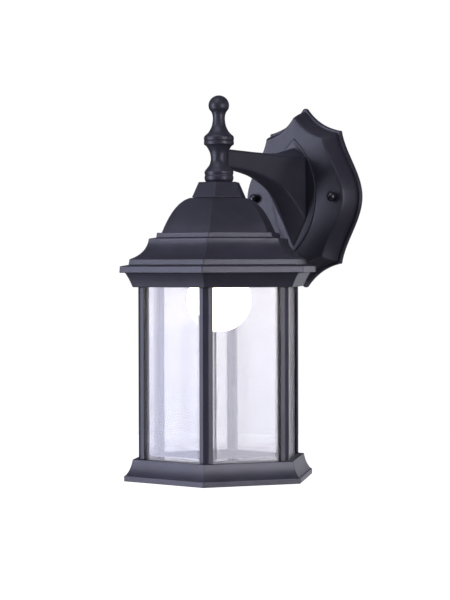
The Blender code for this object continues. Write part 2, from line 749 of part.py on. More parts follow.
def top_frame():
    cornice_foot = CAGE_CORNER + COVE_FOOT_SPREAD
    cornice_top = CAGE_CORNER + CORNICE_SPREAD
    brim = CAGE_CORNER + BRIM_SPREAD
    band = CAGE_CORNER + BAND_SPREAD
    control = (cornice_foot + 2.8, CORNICE_FOOT + 0.58 * CORNICE_HEIGHT)
    cove = arc_points([(cornice_top, BRIM_FOOT), control, (cornice_foot, CORNICE_FOOT)], 6)
    flange_inner = SCREW_RING / COS30 - 4.0
    profile = (
        [(flange_inner, FRAME_TOP), (band, FRAME_TOP), (brim - 0.4, BRIM_TOP), (brim, BRIM_FOOT)]
        + cove
        + [
            (GROOVE_OUTER, CORNICE_FOOT),
            (GROOVE_OUTER, CORNICE_FOOT + UPPER_REBATE),
            (GROOVE_INNER, CORNICE_FOOT + UPPER_REBATE),
            (GROOVE_INNER, CORNICE_FOOT + 0.8),
            (LIP_INNER, CORNICE_FOOT + 0.8),
            (LIP_INNER, FRAME_TOP - CASTING_WALL),
            (flange_inner, FRAME_TOP - CASTING_WALL),
        ]
    )
    frame = turned("top_frame", profile, painted, lantern, steps=6)
    for number, angle in enumerate((30, 150, 270), 1):
        place = (SCREW_RING * cos(radians(angle)), SCREW_RING * sin(radians(angle)))
        hole = cylinder_mesh(
            "frame_hole",
            FRAME_SCREW_RADIUS + GAP,
            FRAME_TOP - CASTING_WALL - 1.0,
            FRAME_TOP + 1.0,
            at=place,
            sides=12,
        )
        cut(frame, guide(f"frame_hole_{number}", hole, lantern))
    slot_foot = CORNICE_FOOT + UPPER_REBATE
    cut_tenon_slots(frame, "frame_slot", slot_foot - 0.5, slot_foot + TENON_LENGTH + GAP)


def tenon_span():
    """Inner and outer distance of a post's tenons from the axis."""
    corner_loss = RIB_WIDTH / 2 * tan(radians(30))
    return GROOVE_INNER + GAP, GROOVE_OUTER - corner_loss - GAP


def cut_tenon_slots(piece, name, foot, head):
    inner, outer = tenon_span()
    half = RIB_WIDTH / 2 + GAP
    for number in range(6):
        slot = guide(
            f"{name}_{number + 1}",
            box_mesh(name, (inner - GAP, -half, foot), (outer + GAP, half, head)),
            lantern,
        )
        slot.rotation_euler = (0.0, 0.0, radians(60 * number))
        cut(piece, slot)


def base_ring():
    foot = CAGE_CORNER + BASE_SPREAD
    top = CAGE_CORNER + BASE_TOP_SPREAD
    wall = CASTING_WALL
    under = BASE_HEIGHT - REBATE - wall
    control = (top + 1.6, FOOT_HEIGHT + 0.34 * (BASE_HEIGHT - FOOT_HEIGHT))
    cove = arc_points([(top, BASE_HEIGHT), control, (foot - 0.9, FOOT_HEIGHT)], 6)
    profile = (
        [
            (LIP_INNER, BASE_HEIGHT),
            (GROOVE_INNER, BASE_HEIGHT),
            (GROOVE_INNER, BASE_HEIGHT - REBATE),
            (GROOVE_OUTER, BASE_HEIGHT - REBATE),
            (GROOVE_OUTER, BASE_HEIGHT),
        ]
        + cove
        + [
            (foot, FOOT_HEIGHT),
            (foot, 0.0),
            (foot - wall, 0.0),
            (foot - wall - 0.4, FOOT_HEIGHT - 1.0),
            (top - wall + 1.6, under),
            (LIP_INNER + wall, under),
            (LIP_INNER + wall, 0.0),
            (LIP_INNER, 0.0),
        ]
    )
    base = turned("base_ring", profile, painted, lantern, steps=6)
    cut_tenon_slots(base, "base_slot", under - 1.0, BASE_HEIGHT - REBATE + 0.5)


def post_outline():
    """A post's plan: blunt nose, and between its flanges and inner lips a rib for the glass."""
    nose = CAGE_CORNER - NOSE_WIDTH / 2 * tan(radians(30))
    along = Vector((-sin(radians(30)), COS30))
    inwards = Vector((-COS30, -0.5))
    nose_edge = Vector((nose, NOSE_WIDTH / 2))
    tip = nose_edge + along * FLANGE_REACH
    back = tip + inwards * FLANGE_THICKNESS
    half_rib = RIB_WIDTH / 2
    root = back - along * ((back.y - half_rib) / COS30)
    lip_face = (GLASS_BACK - GAP) / COS30
    lip_root = Vector((lip_face, 0.0)) + along * (half_rib / COS30)
    lip_tip = lip_root + along * LIP_REACH
    lip_back = lip_tip + inwards * LIP_THICKNESS
    half = [nose_edge, tip, back, Vector((root.x, half_rib)), lip_root, lip_tip, lip_back]
    inner_end = (lip_face - LIP_THICKNESS / COS30, 0.0)
    return [tuple(p) for p in half] + [inner_end] + [(p.x, -p.y) for p in reversed(half)]


def posts():
    foot, head = BASE_HEIGHT + GAP, CORNICE_FOOT - GAP
    inner, outer = tenon_span()
    outline = post_outline()
    mesh = loft_mesh("post", [[(x, y, z) for x, y in outline] for z in (foot, head)])
    tenon_foot = BASE_HEIGHT - REBATE - CASTING_WALL - 1.0
    tenon_head = CORNICE_FOOT + UPPER_REBATE + TENON_LENGTH
    half = RIB_WIDTH / 2
    tenon_mesh = box_mesh("post_tenon", (inner, -half, tenon_foot), (outer, half, tenon_head))
    for number in range(6):
        post = add(f"post_{number + 1}", mesh, painted, lantern)
        post.rotation_euler = (0.0, 0.0, radians(60 * number))
        join(post, guide(f"post_tenon_{number + 1}", tenon_mesh, post))


def glass_half_width():
    """Half a panel's width, up to the ribs of the posts at its sides."""
    corner_to_edge = (RIB_WIDTH / 2 + 0.4 + GLASS_THICKNESS / 2) / COS30
    return GLASS_FRONT * tan(radians(30)) - corner_to_edge


def glass_panels():
    half = glass_half_width()
    body = bmesh.new()
    bmesh.ops.create_cube(body, size=1.0)
    edge_front = GLASS_FRONT - GLASS_BEVEL_DEPTH
    size = (edge_front - GLASS_BACK, 2 * half, GLASS_HEAD - GLASS_FOOT)
    middle = ((edge_front + GLASS_BACK) / 2, 0.0, (GLASS_HEAD + GLASS_FOOT) / 2)
    bmesh.ops.scale(body, vec=size, verts=body.verts)
    bmesh.ops.translate(body, vec=middle, verts=body.verts)
    front = [face for face in body.faces if face.normal.x > 0.5]
    bmesh.ops.inset_region(
        body, faces=front, thickness=GLASS_BEVEL_WIDTH, depth=GLASS_BEVEL_DEPTH
    )
    mesh = finished("glass_panel", body)
    for number in range(6):
        panel = add(f"glass_panel_{number + 1}", mesh, clear_glass, lantern)
        panel.rotation_euler = (0.0, 0.0, radians(30 + 60 * number))


# ---------------------------------------------------------------- lamp holder, bulb and wires

def nipple():
    foot = CUP_TOP - 8.0
    profile = [
        (NIPPLE_RADIUS, NIPPLE_TOP),
        (NIPPLE_RADIUS, foot),
        (NIPPLE_BORE, foot),
        (NIPPLE_BORE, NIPPLE_TOP),
    ]
    turned("nipple", profile, zinc, lantern, steps=20)
    thickness = 3.3
    nut = hex_nut("roof_nut", zinc, 8.5, NIPPLE_RADIUS + GAP, thickness, lantern)
    nut.location = (0.0, 0.0, (ROOF_TOP - ROOF_WALL - GAP - thickness) * MM)


def lamp_holder():
    outer = SOCKET_RADIUS + GAP
    cup = [
        (NIPPLE_RADIUS + GAP, CUP_TOP),
        (NIPPLE_RADIUS + 2.8, CUP_TOP),
        (NIPPLE_RADIUS + 2.8, SOCKET_TOP + 6.5),
        (outer + 1.5, SOCKET_TOP + 3.0),
        (outer + 1.5, SOCKET_TOP - 4.0),
        (outer, SOCKET_TOP - 4.0),
        (outer, SOCKET_TOP + 1.6),
        (NIPPLE_RADIUS + 1.3, SOCKET_TOP + 5.0),
        (NIPPLE_RADIUS + GAP, SOCKET_TOP + 6.0),
    ]
    turned("socket_cup", cup, zinc, lantern)
    bore = SCREW_BASE_RADIUS + 0.4 + SHELL_WALL + GAP
    contact_hole = 1.4 + GAP
    body = [
        (contact_hole, SOCKET_TOP),
        (SOCKET_RADIUS, SOCKET_TOP),
        (SOCKET_RADIUS, SOCKET_RIM + 1.0),
        (SOCKET_RADIUS - 1.0, SOCKET_RIM),
        (bore, SOCKET_RIM),
        (bore, SOCKET_CEILING),
        (contact_hole, SOCKET_CEILING),
    ]
    holder = turned("socket_body", body, porcelain, lantern)
    for side, sign in (("left", -1), ("right", 1)):
        hole = cylinder_mesh(
            "lead_hole",
            LEAD_RADIUS + GAP,
            SOCKET_CEILING - 1.0,
            SOCKET_TOP + 1.0,
            at=(sign * 6.0, 0.0),
            sides=12,
        )
        cut(holder, guide("lead_hole_" + side, hole, lantern))
    inner = SCREW_BASE_RADIUS + 0.4
    roof_of_shell = SOCKET_CEILING - GAP
    shell = [
        (7.0, roof_of_shell),
        (inner + SHELL_WALL, roof_of_shell),
        (inner + SHELL_WALL, SOCKET_RIM + 1.0),
        (inner, SOCKET_RIM + 1.0),
        (inner, roof_of_shell - SHELL_WALL),
        (7.0, roof_of_shell - SHELL_WALL),
    ]
    turned("socket_shell", shell, brass, lantern)
    contact = [
        (0.0, SOCKET_TOP - 0.6),
        (1.4, SOCKET_TOP - 0.6),
        (1.4, TIP_TOP + GAP + 1.1),
        (4.5, TIP_TOP + GAP + 1.1),
        (4.5, TIP_TOP + GAP),
        (0.0, TIP_TOP + GAP),
    ]
    turned("socket_contact", contact, brass, lantern, steps=16, closed=False)


def globe_arc(radius, neck, steps):
    """The globe's outline from its neck down to its lowest point."""
    start = atan2(sqrt(radius ** 2 - neck ** 2), neck)
    angles = [start + (-pi / 2 - start) * i / steps for i in range(steps + 1)]
    return [(radius * cos(angle), BULB_HEIGHT + radius * sin(angle)) for angle in angles]


def bulb():
    neck_top = BASE_RIM + 6.0
    outer = globe_arc(BULB_RADIUS, BULB_NECK, 11)
    inner = globe_arc(BULB_RADIUS - BULB_WALL, BULB_NECK - BULB_WALL, 11)
    outer[-1] = (0.0, BULB_HEIGHT - BULB_RADIUS)
    inner[-1] = (0.0, BULB_HEIGHT - BULB_RADIUS + BULB_WALL)
    mouth = [(BULB_NECK - BULB_WALL, neck_top), (BULB_NECK, neck_top)]
    profile = inner[::-1] + mouth + outer
    turned("bulb_glass", profile, bulb_white, lantern, closed=False)
    sleeve = BULB_NECK + GAP
    screw_base = [
        (5.3, BASE_END),
        (9.5, BASE_END),
        (SCREW_BASE_RADIUS, BASE_END - 1.9),
        (SCREW_BASE_RADIUS, BASE_RIM),
        (sleeve, BASE_RIM),
        (sleeve, BASE_END - 2.4),
        (9.2, BASE_END - 0.8),
        (5.3, BASE_END - 0.8),
    ]
    turned("bulb_base", screw_base, zinc, lantern)
    insulator = cylinder_mesh("bulb_insulator", 5.0, BASE_END - 1.8, BASE_END + 0.9, sides=20)
    add("bulb_insulator", insulator, insulator_black, lantern)
    tip = cylinder_mesh("bulb_tip", 3.2, BASE_END + 1.2, TIP_TOP, sides=16, radius_end=2.2)
    add("bulb_tip", tip, brass, lantern)


def leads():
    """Two insulated leads from the socket, through the nipple and the arm, to their connectors."""
    for name, sign, finish in (("hot_lead", 1, black_lead), ("neutral_lead", -1, white_lead)):
        x = sign * LEAD_SPREAD
        lower = SOCKET_TOP - DROP
        route = [
            (sign * 6.0, -REACH, lower - 2.5),
            (sign * 6.0, -REACH, lower + 0.8),
            (sign * 3.2, -REACH, lower + 3.6),
            (x, -REACH, lower + 7.0),
            (x, -REACH, lower + 20.0),
            (x, -REACH, lower + 36.0),
        ]
        route += duct_points(x)
        behind = -CAVITY_FACE + 5.5
        route += [
            (sign * 4.0, behind, DUCT_EXIT + 1.6),
            (sign * 12.0, behind + 0.6, DUCT_EXIT + 5.4),
            (sign * 22.0, behind + 0.6, DUCT_EXIT + 7.4),
        ]
        add(name, tube_mesh(name, smooth_path(route, 44), LEAD_RADIUS, 1), finish)
        connector_name = name.replace("lead", "connector")
        mouth, end = sorted((sign * 20.0, sign * 36.0))
        wide_first = sign > 0
        cone = cylinder_mesh(
            connector_name,
            5.0 if wide_first else 2.6,
            mouth,
            end,
            "X",
            (behind + 0.6, DUCT_EXIT + 7.4),
            12,
            2.6 if wide_first else 5.0,
        )
        connector = add(connector_name, cone, connector_orange)
        bore = cylinder_mesh(
            connector_name,
            LEAD_RADIUS + 2 * GAP,
            *sorted((sign * 19.0, sign * 23.0)),
            "X",
            (behind + 0.6, DUCT_EXIT + 7.4),
            12,
        )
        cut(connector, guide(connector_name + "_bore", bore))


wall_plate()
mounting_strap()
plate_fasteners()
arm()
finial()
roof_cap()
roof()
top_frame()
posts()
glass_panels()
base_ring()
nipple()
lamp_holder()
bulb()
leads()
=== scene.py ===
"""Outdoor wall lantern: the looks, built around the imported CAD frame.

Shapes are drawn in millimetres and settled in metres. The lantern's own pieces are drawn about its
upright axis, with heights measured from the foot of each piece's CAD box.
"""
import bmesh
import bpy
from math import atan2, cos, pi, radians, sin, sqrt, tan
from mathutils import Matrix, Vector
from mathutils.geometry import interpolate_bezier


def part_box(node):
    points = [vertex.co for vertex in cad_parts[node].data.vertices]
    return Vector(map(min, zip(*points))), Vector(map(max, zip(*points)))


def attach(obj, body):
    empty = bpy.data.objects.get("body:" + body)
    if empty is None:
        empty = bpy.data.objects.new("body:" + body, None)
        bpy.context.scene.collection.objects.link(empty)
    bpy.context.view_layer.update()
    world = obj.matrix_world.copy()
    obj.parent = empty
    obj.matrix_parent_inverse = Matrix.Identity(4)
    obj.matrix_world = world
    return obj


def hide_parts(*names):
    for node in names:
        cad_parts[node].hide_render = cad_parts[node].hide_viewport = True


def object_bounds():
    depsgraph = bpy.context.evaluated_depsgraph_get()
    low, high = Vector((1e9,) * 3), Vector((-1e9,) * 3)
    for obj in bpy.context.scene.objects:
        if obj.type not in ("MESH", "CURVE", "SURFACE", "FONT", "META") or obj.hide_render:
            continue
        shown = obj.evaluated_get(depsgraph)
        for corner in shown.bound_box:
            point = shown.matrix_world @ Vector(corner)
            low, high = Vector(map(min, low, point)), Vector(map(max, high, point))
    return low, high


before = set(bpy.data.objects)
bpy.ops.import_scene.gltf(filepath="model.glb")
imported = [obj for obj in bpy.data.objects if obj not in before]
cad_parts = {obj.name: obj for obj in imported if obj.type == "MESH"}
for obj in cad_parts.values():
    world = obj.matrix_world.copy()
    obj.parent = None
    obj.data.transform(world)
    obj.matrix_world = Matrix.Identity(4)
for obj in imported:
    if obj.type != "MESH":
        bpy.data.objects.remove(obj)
cad_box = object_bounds()


# ---------------------------------------------------------------- mounting strap
# A zinc-plated steel bar that is screwed to the junction box. It is cropped from strip, and its
# two stud holes, two slots and earth hole are punched, so every edge is slightly rolled.

MM = 0.001
GAP = 0.3


def middle_of(node):
    """Middle of a CAD node's box, in metres."""
    low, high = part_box(node)
    return (low + high) / 2


def slab(low, high):
    """A rectangular block between two corners."""
    body = bmesh.new()
    bmesh.ops.create_cube(body, size=1.0)
    low, high = Vector(low), Vector(high)
    bmesh.ops.scale(body, vec=high - low, verts=body.verts)
    bmesh.ops.translate(body, vec=(high + low) / 2, verts=body.verts)
    return body


def rod(radius, low, high, at=(0.0, 0.0), sides=32):
    """An upright cylinder from one height to another."""
    body = bmesh.new()
    bmesh.ops.create_cone(
        body, cap_ends=True, segments=sides, radius1=radius, radius2=radius, depth=high - low
    )
    bmesh.ops.translate(body, vec=(at[0], at[1], (low + high) / 2), verts=body.verts)
    return body


def workpiece(body, name="workpiece"):
    """A plain object that holds a bmesh, which is used up."""
    mesh = bpy.data.meshes.new(name)
    body.to_mesh(mesh)
    body.free()
    thing = bpy.data.objects.new(name, mesh)
    bpy.context.scene.collection.objects.link(thing)
    return thing


def machined(body, *tools, operation="DIFFERENCE"):
    """Cut tools out of a body, or join them to it, with exact Booleans."""
    thing = workpiece(body)
    helpers = [workpiece(tool) for tool in tools]
    for helper in helpers:
        step = thing.modifiers.new(operation, "BOOLEAN")
        step.operation, step.solver, step.object = operation, "EXACT", helper
    result = bmesh.new()
    result.from_object(thing, bpy.context.evaluated_depsgraph_get())
    bmesh.ops.remove_doubles(result, verts=result.verts, dist=0.001)
    bmesh.ops.dissolve_degenerate(result, edges=result.edges, dist=0.001)
    for used in [thing] + helpers:
        bpy.data.objects.remove(used, do_unlink=True)
    return result


def settle(name, body, finish, rides, slot, *nodes, at=(0, 0, 0), tilt=None, crisp=32, edge=0.0):
    """Make a shape in millimetres a finished piece at a place in metres, standing for CAD nodes."""
    if tilt is not None:
        bmesh.ops.rotate(body, matrix=tilt, verts=body.verts)
    bmesh.ops.scale(body, vec=(MM, MM, MM), verts=body.verts)
    bmesh.ops.translate(body, vec=at, verts=body.verts)
    thing = workpiece(body, name)
    thing.data.shade_smooth()
    if edge:
        rounding = thing.modifiers.new("rolled_edges", "BEVEL")
        rounding.width = edge * MM
        rounding.segments = 3
        rounding.limit_method = "ANGLE"
        rounding.angle_limit = radians(crisp)
        rounding.harden_normals = True
        rounding.use_clamp_overlap = True
    else:
        thing.data.set_sharp_from_angle(angle=radians(crisp))
    thing.data.materials.append(finish)
    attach(thing, rides)
    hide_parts(*nodes)
    return thing


class Signal:
    """A shader node's output. Sums on it add Math nodes, and node() adds any other node."""

    def __init__(self, tree, socket=None):
        self.tree, self.socket = tree, socket

    def fill(self, made, values):
        for name, value in values.items():
            if isinstance(value, Signal):
                self.tree.links.new(value.socket, made.inputs[name])
            else:
                made.inputs[name].default_value = value

    def node(self, kind, settings=None, output=0, **values):
        made = self.tree.nodes.new("ShaderNode" + kind)
        for name, value in (settings or {}).items():
            setattr(made, name, value)
        self.fill(made, {name.replace("_", " "): value for name, value in values.items()})
        return Signal(self.tree, made.outputs[output])

    def maths(self, operation, first, second):
        made = self.tree.nodes.new("ShaderNodeMath")
        made.operation = operation
        self.fill(made, {0: first, 1: second})
        return Signal(self.tree, made.outputs[0])

    def __add__(self, other):
        return self.maths("ADD", self, other)

    def __radd__(self, other):
        return self.maths("ADD", other, self)

    def __sub__(self, other):
        return self.maths("SUBTRACT", self, other)

    def __rsub__(self, other):
        return self.maths("SUBTRACT", other, self)

    def __mul__(self, other):
        return self.maths("MULTIPLY", self, other)

    def __rmul__(self, other):
        return self.maths("MULTIPLY", other, self)

    def blend(self, first, second):
        """A colour between two, by this value."""
        made = self.tree.nodes.new("ShaderNodeMix")
        made.data_type = "RGBA"
        self.fill(made, {0: self, 6: first, 7: second})
        return Signal(self.tree, made.outputs[2])

    def above(self, low, high):
        """0 below low, 1 above high and smooth between them."""
        return self.node(
            "MapRange", {"interpolation_type": "SMOOTHSTEP"},
            Value=self, From_Min=low, From_Max=high,
        )


def new_finish(name):
    """A material, the start of its node sums, and its place on the piece in metres."""
    made = bpy.data.materials.new(name)
    made.use_nodes = True
    start = Signal(made.node_tree)
    return made, start, start.node("TexCoord", output="Object")


def dress(made, start, **values):
    """Set or link the sockets of a material's Principled shader."""
    shader = made.node_tree.nodes["Principled BSDF"]
    start.fill(shader, {name.replace("_", " "): value for name, value in values.items()})


def grain(start, place, scale, detail=3.0, rough=0.5):
    """Noise of this many cells a metre."""
    return start.node("TexNoise", Vector=place, Scale=scale, Detail=detail, Roughness=rough)


def plated(name, bright, dull, roughness, passivation=0.0):
    """Electroplated metal: fine crystals, cloudy patches and handling marks."""
    made, start, place = new_finish(name)
    cloud = grain(start, place, 160.0).above(0.35, 0.68)
    crystals = start.node("TexVoronoi", Vector=place, Scale=1400.0)
    scuffs = grain(start, place, 900.0, 6.0, 0.7).above(0.56, 0.7)
    bump = start.node("Bump", Strength=0.35, Distance=0.00006, Height=crystals + scuffs * 0.6)
    dress(
        made, start,
        Base_Color=(cloud * 0.8 + scuffs * 0.2).blend(bright, dull),
        Roughness=roughness + cloud * 0.14 + scuffs * 0.1,
        Metallic=1.0 - passivation * cloud,
        Normal=bump,
    )
    return made


zinc = plated("zinc_plating", (0.62, 0.63, 0.64, 1), (0.44, 0.45, 0.46, 1), 0.3, 0.12)

STRAP = (100.0, 16.0, 2.0)
STUD_SPACING = (middle_of("mounting_stud_right") - middle_of("mounting_stud_left")).x / MM
EARTH_SCREW = (12.0, 4.5)
SLOT_LENGTH, SLOT_WIDTH = 14.0, 4.6


def strap_bar():
    length, width, thickness = STRAP
    bar = slab((-length / 2, -width / 2, 0.0), (length / 2, width / 2, thickness))
    corners = [e for e in bar.edges if abs(e.verts[0].co.z - e.verts[1].co.z) > 1.0]
    bmesh.ops.bevel(
        bar, geom=corners, offset=3.0, segments=6, profile=0.5, affect="EDGES", material=-1
    )
    tools = [rod(1.8 + GAP, -1.0, thickness + 1.0, EARTH_SCREW)]
    for sign in (-1, 1):
        stud = sign * STUD_SPACING / 2
        tools.append(rod(2.0 + GAP, -1.0, thickness + 1.0, (stud, 0.0)))
        slot_end = stud - sign * (7.0 + SLOT_WIDTH / 2)
        other_end = slot_end - sign * (SLOT_LENGTH - SLOT_WIDTH)
        inner, outer = sorted((slot_end, other_end))
        tools.append(slab((inner, -SLOT_WIDTH / 2, -1.0), (outer, SLOT_WIDTH / 2, thickness + 1.0)))
        for end in (inner, outer):
            tools.append(rod(SLOT_WIDTH / 2, -1.0, thickness + 1.0, (end, 0.0)))
    return machined(bar, *tools)


# Turns a piece that is drawn upright to point out of the wall.
FORWARD = Matrix.Rotation(pi / 2, 3, "X")
strap_low, strap_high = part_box("mounting_strap")
settle(
    "strap_bar", strap_bar(), zinc, "fixture", "zinc_plate", "mounting_strap",
    at=(0.0, strap_high.y, (strap_low.z + strap_high.z) / 2), tilt=FORWARD, edge=0.3,
)


# ---------------------------------------------------------------- studs and lock nuts
# Two threaded steel studs screw into the strap and carry the plate. A thin hexagon nut behind the
# plate locks each one. The threads are rolled, and the ends are chamfered.

def spun(profile, steps=64):
    """A profile of radius and height, turned about the upright axis; its ends may lie on it."""
    body = bmesh.new()
    points = [body.verts.new((radius, 0.0, height)) for radius, height in profile]
    for start, end in zip(points, points[1:]):
        body.edges.new((start, end))
    bmesh.ops.spin(
        body, geom=body.verts[:] + body.edges[:], cent=(0, 0, 0), axis=(0, 0, 1),
        angle=2 * pi, steps=steps, use_merge=True,
    )
    bmesh.ops.remove_doubles(body, verts=body.verts, dist=0.0005)
    bmesh.ops.recalc_face_normals(body, faces=body.faces)
    return body


def stations(points, longest):
    """The same chain of points with no span longer than this."""
    filled = [points[0]]
    for start, end in zip(points, points[1:]):
        start, end = Vector(start), Vector(end)
        count = max(1, int((end - start).length / longest))
        filled += [tuple(start.lerp(end, i / count)) for i in range(1, count + 1)]
    return filled


def roll_thread(body, radius, low, high, pitch, depth):
    """Press a helical thread into the upright wall at this radius."""
    for vert in body.verts:
        out = sqrt(vert.co.x ** 2 + vert.co.y ** 2)
        if abs(out - radius) < 0.02 and low < vert.co.z < high:
            turn = atan2(vert.co.y, vert.co.x) / (2 * pi)
            run_out = min(1.0, (vert.co.z - low) / pitch, (high - vert.co.z) / pitch)
            wave = 0.5 - 0.5 * cos(2 * pi * (vert.co.z / pitch - turn))
            share = (out - depth * run_out * wave) / out
            vert.co.x *= share
            vert.co.y *= share


def stud(radius, length, pitch=0.8, depth=0.35):
    """A threaded rod that stands on its origin, with chamfered ends."""
    ends = 0.5
    profile = [(0.0, 0.0), (radius - ends, 0.0), (radius, ends)]
    wall = stations([(radius, ends), (radius, length - ends)], pitch / 6)
    body = spun(profile[:-1] + wall + [(radius - ends, length), (0.0, length)], 36)
    roll_thread(body, radius, 2 * ends, length - 2 * ends, pitch, depth)
    return body


def hexagon_nut(corner, bore, thickness):
    """A nut that stands on its origin, chamfered on both faces."""
    chamfer = spun(
        [(0.0, 0.0), (0.9 * corner, 0.0), (corner, 0.35), (corner, thickness - 0.35),
         (0.9 * corner, thickness), (0.0, thickness)], 48,
    )
    hexagon = rod(corner, -1.0, thickness + 1.0, sides=6)
    nut = machined(chamfer, hexagon, operation="INTERSECT")
    return machined(nut, rod(bore, -1.0, thickness + 1.0))


for side in ("left", "right"):
    low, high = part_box("mounting_stud_" + side)
    centre = middle_of("mounting_stud_" + side)
    settle(
        f"stud_{side}", stud((high.x - low.x) / MM / 2, (high.y - low.y) / MM), zinc, "fixture",
        "zinc_plate", "mounting_stud_" + side, at=(centre.x, high.y, centre.z), tilt=FORWARD,
    )
    low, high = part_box("stud_lock_nut_" + side)
    settle(
        f"lock_nut_{side}", hexagon_nut((high.x - low.x) / MM / 2, 2.1, (high.y - low.y) / MM),
        zinc, "fixture", "zinc_plate", "stud_lock_nut_" + side,
        at=(centre.x, high.y, centre.z), tilt=FORWARD,
    )


# ---------------------------------------------------------------- earth screw
# A pan-head screw in the strap for the earth wire, dyed green so that it can't be mistaken. Its
# cross recess is punched, and the dye is thinner on the rim of the head.

def pan_head(radius, head_radius, head_height, length):
    """A cross-head screw whose head's underside is at its origin, its shank running up."""
    crown = [
        (head_radius * cos(angle), -0.45 * head_height - 0.55 * head_height * sin(angle))
        for angle in [radians(90 - 10 * i) for i in range(10)]
    ]
    shank = stations([(radius, 0.3), (radius, length - 0.8)], 0.16)
    point = [(0.6 * radius, length), (0.0, length)]
    profile = crown + [(head_radius, 0.0), (radius, 0.0)] + shank + point
    profile[0] = (0.0, profile[0][1])
    body = spun(profile, 32)
    roll_thread(body, radius, 0.5, length - 1.0, 0.8, 0.3)
    reach, half = 0.62 * head_radius, 0.13 * head_radius
    low, high = -head_height - 1.0, -0.4 * head_height
    return machined(
        body,
        slab((-reach, -half, low), (reach, half, high)),
        slab((-half, -reach, low), (half, reach, high)),
    )


green_dye = plated("green_dye", (0.03, 0.27, 0.09, 1), (0.015, 0.16, 0.05, 1), 0.32, 0.6)
SMALL_SCREW_HEAD = 2.2
low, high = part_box("ground_screw")
centre = middle_of("ground_screw")
settle(
    "earth_screw", pan_head(1.8, (high.x - low.x) / MM / 2, SMALL_SCREW_HEAD, STRAP[2]),
    green_dye, "fixture", "green_screw", "ground_screw",
    at=(centre.x, low.y + SMALL_SCREW_HEAD * MM, centre.z),
    tilt=Matrix.Rotation(-pi / 2, 3, "X"),
)


# ---------------------------------------------------------------- wall plate
# The wall plate is a die-cast aluminium dish with a pointed, waisted outline, a domed flank and a
# raised almond pad for the arm. It is blasted, then powder-coated in a fine matt texture.

def powder_coat():
    """Matt black polyester powder: orange peel and fine grit, with upward faces painted lighter and
    bluer as painted light from above.
    """
    made, start, place = new_finish("powder_coat")
    peel = grain(start, place, 420.0, 2.0)
    grit = grain(start, place, 1900.0, 3.0, 0.65)
    flow = grain(start, place, 45.0, 3.0)
    specks = start.node("TexVoronoi", Vector=place, Scale=1500.0).above(0.1, 0.22)
    up = start.node("SeparateXYZ", output="Z", Vector=start.node("NewGeometry", output="Normal"))
    # painted top light: faces that look up are painted lighter and bluer, and a little rougher
    painted_top_light = up.above(0.2, 1.0) * (0.35 + flow * 0.6) * 0.5
    tone = (flow.above(0.3, 0.75) * 0.55 + grit * 0.35).blend(
        (0.014, 0.0132, 0.020, 1), (0.026, 0.0245, 0.036, 1)
    )
    bump = start.node(
        "Bump", Strength=0.55, Distance=0.00016, Height=peel * 0.55 + grit * 0.9 - specks * 0.12
    )
    dress(
        made, start,
        Base_Color=painted_top_light.blend(tone, (0.048, 0.048, 0.064, 1)),
        Roughness=0.36 + grit * 0.12 + painted_top_light * 0.12,
        Specular_IOR_Level=0.55,
        Normal=bump,
    )
    return made


coat = powder_coat()

PLATE_WIDTH, PLATE_HEIGHT = 119.0, 156.6
PLATE_DEPTH, PLATE_WALL, PLATE_LIP = 18.9, 2.6, 3.6
FACE_INSET, FACE_TOP_INSET = 7.4, 9.2
SHOULDER_IN, SHOULDER_DOWN = 21.6, 20.9
PAD_HALF_WIDTH, PAD_HALF_HEIGHT, PAD_LIFT, PAD_FRONT = 23.6, 49.6, 2.0, 19.8
ARM_SCREW_HEIGHTS = (28.0, -22.0)
WIRE_HOLE = 10.6
UPPER_STEPS, SIDE_STEPS = 15, 18


def curve(start, first, second, end, count):
    """Points on a cubic Bezier curve, ends included."""
    ends = [Vector((*point, 0.0)) for point in (start, first, second, end)]
    return [(p.x, p.y) for p in interpolate_bezier(*ends, count)]


def bow(start, control, end, count):
    """Points on a quadratic Bezier curve, ends included."""
    start, control, end = Vector(start), Vector(control), Vector(end)
    return curve(start, start.lerp(control, 2 / 3), end.lerp(control, 2 / 3), end, count)


def mirrored(quarter):
    """A quarter outline, from its upper point to its widest place, as the whole loop."""
    right = quarter + [(x, -z) for x, z in reversed(quarter[:-1])]
    return right + [(-x, z) for x, z in reversed(right)]


def plate_outline(inset, shrink=0.0):
    """The plate's outline: at its rim for inset 0, and round its front face for inset 1."""
    half_width = PLATE_WIDTH / 2 - inset * FACE_INSET
    half_height = PLATE_HEIGHT / 2 - inset * FACE_TOP_INSET
    shoulder_x = PLATE_WIDTH / 2 - SHOULDER_IN - 7.5 * inset
    shoulder_z = PLATE_HEIGHT / 2 - SHOULDER_DOWN - 5.9 * inset
    hollow = (0.4 * shoulder_x, shoulder_z + 0.18 * (half_height - shoulder_z))
    tip = [(0.5, half_height), (1.2, half_height - 0.3)]
    upper = bow((1.9, half_height - 0.9), hollow, (shoulder_x, shoulder_z), UPPER_STEPS)
    side = curve(
        (shoulder_x, shoulder_z),
        (shoulder_x + 0.16 * (half_width - shoulder_x), 0.66 * shoulder_z),
        (half_width, 0.35 * shoulder_z),
        (half_width, 0.0),
        SIDE_STEPS,
    )
    across, along = 1 - shrink / (PLATE_WIDTH / 2), 1 - shrink / (PLATE_HEIGHT / 2)
    return [(x * across, z * along) for x, z in mirrored(tip + upper + side[1:])]


def almond_outline(shrink=0.0):
    """The pad's pointed oval, with as many points as the plate's outline."""
    half_width, half_height = PAD_HALF_WIDTH - shrink, PAD_HALF_HEIGHT - 2.2 * shrink
    radius = (half_height ** 2 + half_width ** 2) / (2 * half_width)
    sweep = atan2(half_height, radius - half_width)
    count = UPPER_STEPS + SIDE_STEPS
    quarter = []
    for i in range(count + 1):
        angle = sweep * (1 - i / count)
        across = max(radius * cos(angle) - (radius - half_width), 0.25)
        quarter.append((across, radius * sin(angle)))
    return [(x, z + PAD_LIFT) for x, z in mirrored(quarter)]


